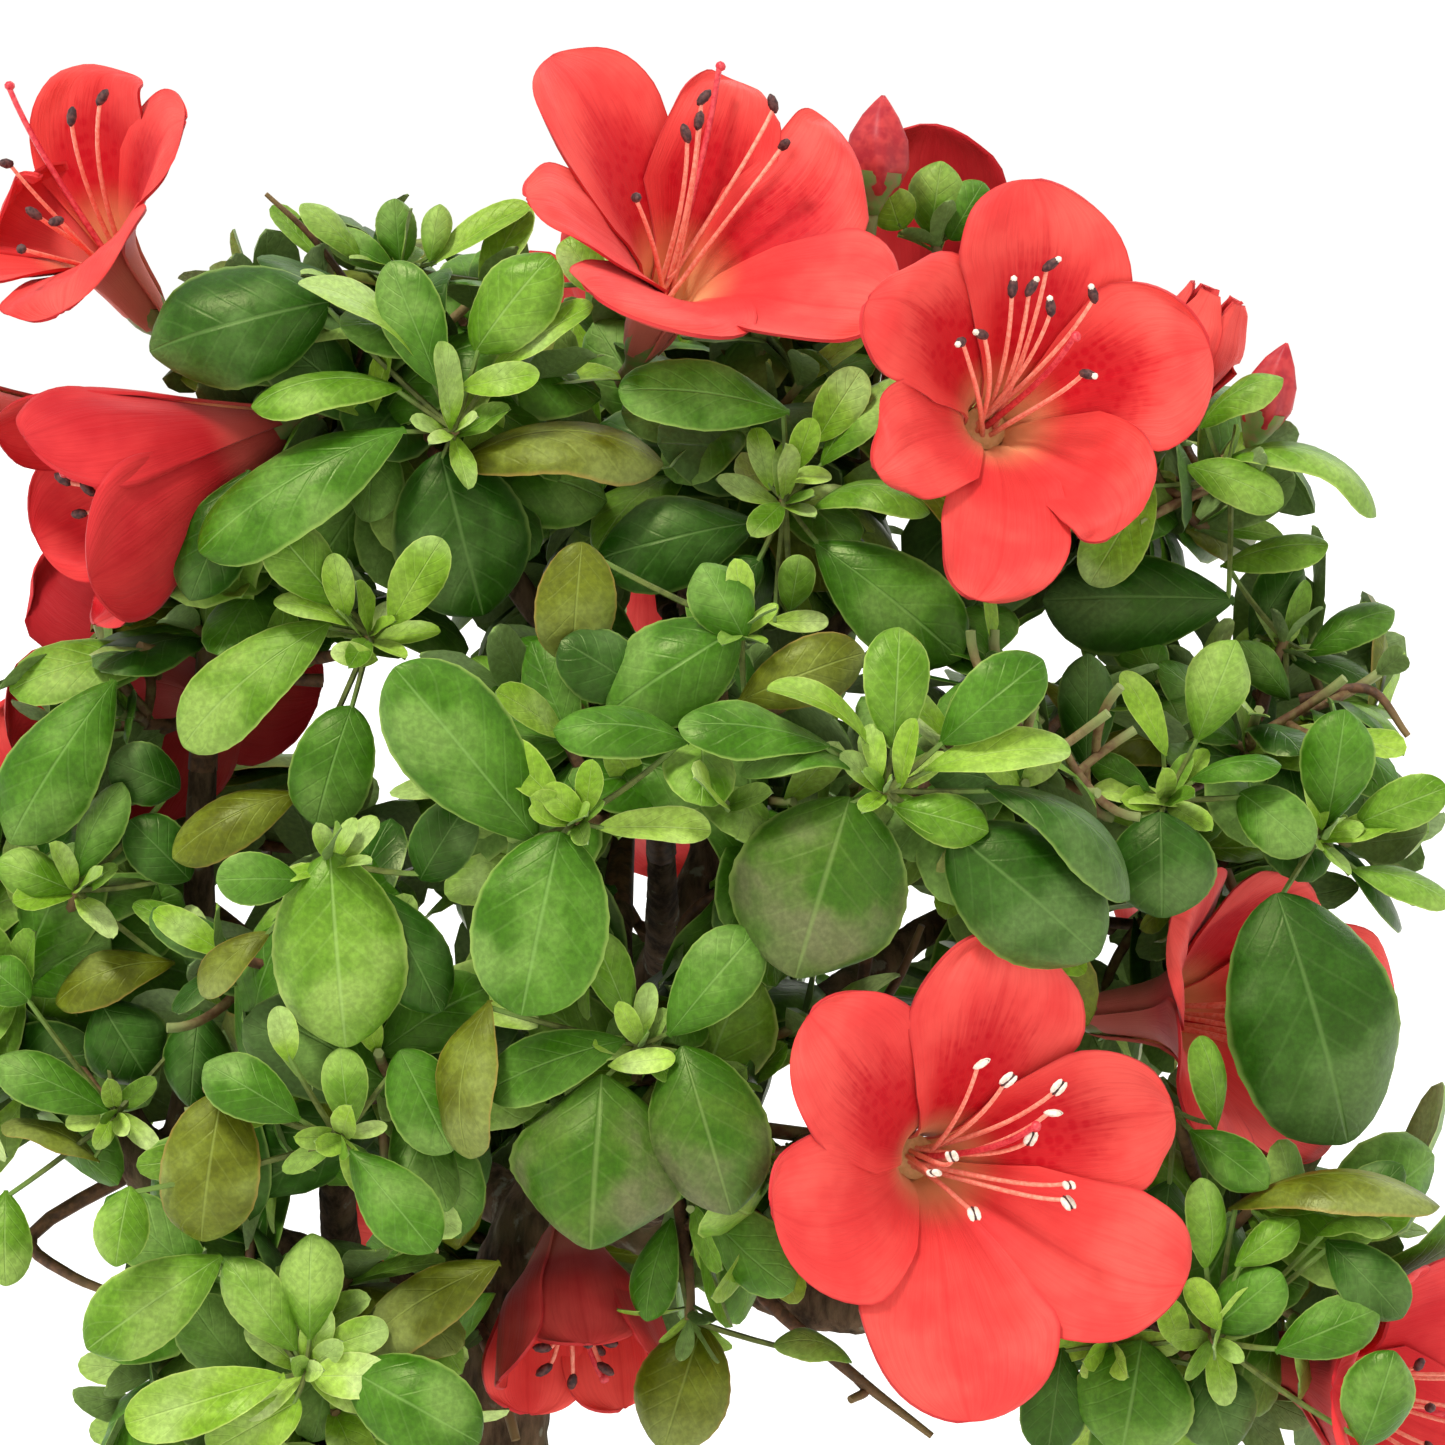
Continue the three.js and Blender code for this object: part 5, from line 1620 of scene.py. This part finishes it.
def add_anther(bloom, end, tilt):
    if bloom["name"] in PALE_ANTHERS:
        for across in (-0.42, 0.42):
            add_ball(ANTHER_TIP, end + tilt * 0.6 + square_to(tilt) * across, tilt, 1.25, 0.5)
        add_ball(ANTHER, end + tilt * 0.5, tilt, 1.3, 0.42)
        return
    add_ball(ANTHER, end + tilt * 0.6, tilt, 1.45, 0.75)
    if bloom["name"] not in DARK_ANTHERS:
        add_ball(ANTHER_TIP, end + tilt * 1.9, tilt, 0.5, 0.5, 4, 6)


def add_stamens(bloom, turn, draw):
    base, aim, high = bloom["base"], bloom["aim"], bloom["height"]
    ends = stamen_ends(bloom, turn, draw)
    places = base + np.outer(CUSHION_MARKS * high, aim)
    inner_parts.add_tube(CUSHION, places, bloom["tube"] * CUSHION_RADII, CUP_SIDES, None, aim)
    upturn = (UP - aim * (UP @ aim)) * (np.linspace(0, 1, STAMEN_STEPS) ** 4)[:, None] * 1.8
    for k, end in enumerate(ends):
        style = k == len(ends) - 1
        angle = 2 * math.pi * k / (len(ends) - 1)
        out = turn @ np.array([math.cos(angle), math.sin(angle), 0])
        start = base + aim * STAMEN_FOOT * high + out * 1.3 * (not style)
        apart = end - base - aim * ((end - base) @ aim)
        middle = base + aim * mix(0.72, 0.84, draw()) * high + apart * 0.42
        line = curve_through((start, middle, end), STAMEN_STEPS) + upturn
        finish, radii = (STYLE, (0.5, 0.42)) if style else (FILAMENT, (0.4, 0.3))
        inner_parts.add_tube(finish, line, np.linspace(*radii, STAMEN_STEPS), 6)
        tilt = unit(unit(line[-1] - line[-2]) + 0.8 * out)
        if style:
            add_ball(STYLE, line[-1] + 0.3 * tilt, tilt, 0.7, 0.8)
        else:
            add_anther(bloom, line[-1], tilt)


def faces_front(bloom):
    return bool(bloom["aim"][1] < FACES_BACK)


def add_petals(bloom, turn, draw):
    front = faces_front(bloom)
    rows, columns = PETAL_GRID if front else FAR_PETAL_GRID
    along = np.sin(np.linspace(0, math.pi / 2, rows))
    across = np.sin(np.linspace(-math.pi / 2, math.pi / 2, columns))
    faces = sheet_faces(rows, columns)
    spread = np.stack(np.meshgrid((1 + across) / 2, along), 2)
    pattern = np.tile(spread.reshape(-1, 2), (2, 1))
    starts, tips, reaches = petal_plan(bloom, turn, draw)
    highest = (turn[2, 0] * np.cos(tips) + turn[2, 1] * np.sin(tips)).argsort()[-3:]
    for k, tip in enumerate(tips):
        gaps = np.abs(np.angle(np.exp(1j * (np.delete(tips, k) - tip))))
        spacing = np.sort(gaps)[:2].mean()
        skin = petal_sheet(bloom, starts[k], tip, reaches[k], spacing, along, across, draw)
        if sheet_normals(skin)[rows // 2, columns // 2, 2] < 0:
            skin = skin[:, ::-1]
        back = skin - PETAL_THICKNESS * sheet_normals(skin)
        both = np.concatenate([skin.reshape(-1, 3), back.reshape(-1, 3)]) @ turn.T + bloom["base"]
        inside, outside = PETAL, PETAL_OUTSIDE
        # blooms in shade take the darker finishes, which are painted shade
        if bloom["name"] in SHADED_DEEP_RED:
            inside, outside = PETAL_SHADED_DEEP, PETAL_OUTSIDE_SHADED_DEEP
        elif k in highest and bloom["lobe"] > MARKED_REACH:
            inside = PETAL_MARKED
        finishes = [np.full(len(group), tint) for group, tint in zip(faces, (inside, outside))]
        petals["petals_front" if front else "petals_back"].add(both, faces, finishes, pattern)


def calyx_lobes(angles, places):
    return 1 + 0.05 * np.cos(5 * angles) * np.ones((len(places), 1))


def add_calyx(base, aim):
    """A cup of five short teeth round a bloom's foot."""
    places = base + np.outer(CALYX_MARKS, aim)
    points, faces, pattern = tube(places, CALYX_RADII, CUP_SIDES, calyx_lobes, aim)
    angles = np.arange(CUP_SIDES) / CUP_SIDES * 2 * math.pi
    points[-CUP_SIDES - 2 : -2] += np.outer(1.4 * np.cos(5 * angles), aim)
    cups.add(points, faces, 0, pattern)


def add_bud(base, aim, length, radius):
    shares = np.linspace(0, 1, 16)

    def furl(angles, places):
        return 1 + 0.09 * np.cos(5 * angles[None] + 3 * shares[:, None])

    line = base + np.outer(shares * length, aim)
    shape = np.interp(shares, BUD_MARKS, BUD_RADII)
    petals["petals_front"].add_tube(BUD_SKIN, line, shape * radius, BUD_SIDES, furl, aim)
    wide = np.array([1.0, 1.6, 2.4, 0.72 * radius + 0.5, 0.86 * radius + 0.35])
    cups.add_tube(0, base + np.outer(BUD_CALYX_MARKS, aim), wide, CUP_SIDES, None, aim)


for number, bloom in enumerate(blooms):
    draw = np.random.default_rng(BLOOM_SEED + number).random
    turn = bloom_turn(bloom)
    add_petals(bloom, turn, draw)
    if bloom["opening"] != "closed":
        add_stamens(bloom, turn, draw)
    add_calyx(bloom["base"], bloom["aim"])
for _, base, aim, length, radius in BUDS:
    add_bud(np.array(base, float), unit(aim), length, radius)

RED, PALE_RED = (0.75, 0.046, 0.042), (0.87, 0.098, 0.078)
petal_finishes = [
    petal_finish("petal", RED, PALE_RED),
    petal_finish("petal_marked", RED, PALE_RED, marked=True),
    plain_finish("bud_skin", (0.4, 0.015, 0.025), (0.55, 0.04, 0.042), 0.5, 500),
    # a darker copy of the petal red for blooms in shade: painted shade
    petal_finish("petal_shaded_deep", (0.6, 0.012, 0.02), (0.78, 0.055, 0.05)),
    petal_finish("petal_outside", (0.62, 0.025, 0.03), (0.8, 0.08, 0.07), (0.74, 0.2, 0.15), 0.7),
    # outside of the blooms in shade, darkened the same way: painted shade
    petal_finish("petal_outside_shaded_deep", (0.46, 0.008, 0.014), (0.6, 0.028, 0.03), (0.52, 0.08, 0.06), 0.7),
]
for piece_name, pile in petals.items():
    front = piece_name == "petals_front"
    nodes = ["bloom_" + bloom["name"] for bloom in blooms if faces_front(bloom) == front]
    pile.piece(piece_name, petal_finishes, "petals", nodes)
inner_parts.piece(
    "stamens",
    [
        plain_finish("filament", (0.88, 0.24, 0.17), (0.96, 0.4, 0.28), 0.4),
        plain_finish("anther", (0.035, 0.012, 0.014), (0.12, 0.045, 0.04), 0.6),
        plain_finish("anther_tip", (0.72, 0.64, 0.52), (0.9, 0.84, 0.74), 0.7),
        plain_finish("style", (0.6, 0.03, 0.05), (0.75, 0.08, 0.09), 0.4),
        plain_finish("cushion", (0.75, 0.46, 0.18), (0.85, 0.53, 0.24), 0.6),
    ],
    "petals",
    [],
)
calyx_finish = plain_finish("calyx", (0.17, 0.27, 0.06), (0.28, 0.2, 0.08), 0.55, 500)
cups.piece("calyxes", [calyx_finish], "foliage", [])

# Stage

FLOOR_SIZE = 12
# levels of the sky and its strength at each
AIR_LEVELS = (0.03, 0.25)
AIR_STRENGTHS = (1.05, 0.85)
AIR_TONE = (1, 0.995, 0.96, 1)
# name, place, power, angle in degrees, tone
SUNS = [
    ("key", (-0.4, -0.6, 1.0), 2.6, 12, (1, 0.985, 0.95)),
    ("rim", (0.5, 0.75, 0.8), 0.7, 40, (0.96, 0.98, 1)),
]


def make_floor():
    bpy.ops.mesh.primitive_plane_add(size=FLOOR_SIZE, location=(0, 0, 0))
    floor = bpy.context.object
    floor.name = "floor"
    floor.select_set(False)
    finish = Finish("pale_floor", 0.9, Specular_IOR_Level=0.1)
    grain = finish.ramp(finish.noise(6, 2), 0.3, 0.7)
    finish.colour(finish.blend(grain, (0.93, 0.93, 0.93), (0.95, 0.95, 0.95)))
    floor.data.materials.append(finish.material)


def make_air():
    world = bpy.data.worlds.new("pale_air")
    bpy.context.scene.world = world
    world.use_nodes = True
    nodes, links = world.node_tree.nodes, world.node_tree.links
    parts = nodes.new("ShaderNodeSeparateXYZ")
    links.new(nodes.new("ShaderNodeTexCoord").outputs["Generated"], parts.inputs[0])
    level = nodes.new("ShaderNodeMapRange")
    for i, value in enumerate((*AIR_LEVELS, *AIR_STRENGTHS)):
        level.inputs[i + 1].default_value = value
    links.new(parts.outputs[2], level.inputs[0])
    air = nodes["Background"]
    air.inputs["Color"].default_value = AIR_TONE
    links.new(level.outputs[0], air.inputs["Strength"])


def make_suns():
    for name, way, power, spread, tone in SUNS:
        lamp = bpy.data.objects.new(name, bpy.data.lights.new(name, "SUN"))
        bpy.context.scene.collection.objects.link(lamp)
        lamp.location = way
        lamp.data.energy = power
        lamp.data.angle = math.radians(spread)
        lamp.data.color = tone
        lamp.rotation_euler = Vector(way).to_track_quat("Z", "Y").to_euler()


make_floor()
make_air()
make_suns()
bpy.context.scene.view_settings.view_transform = "Standard"
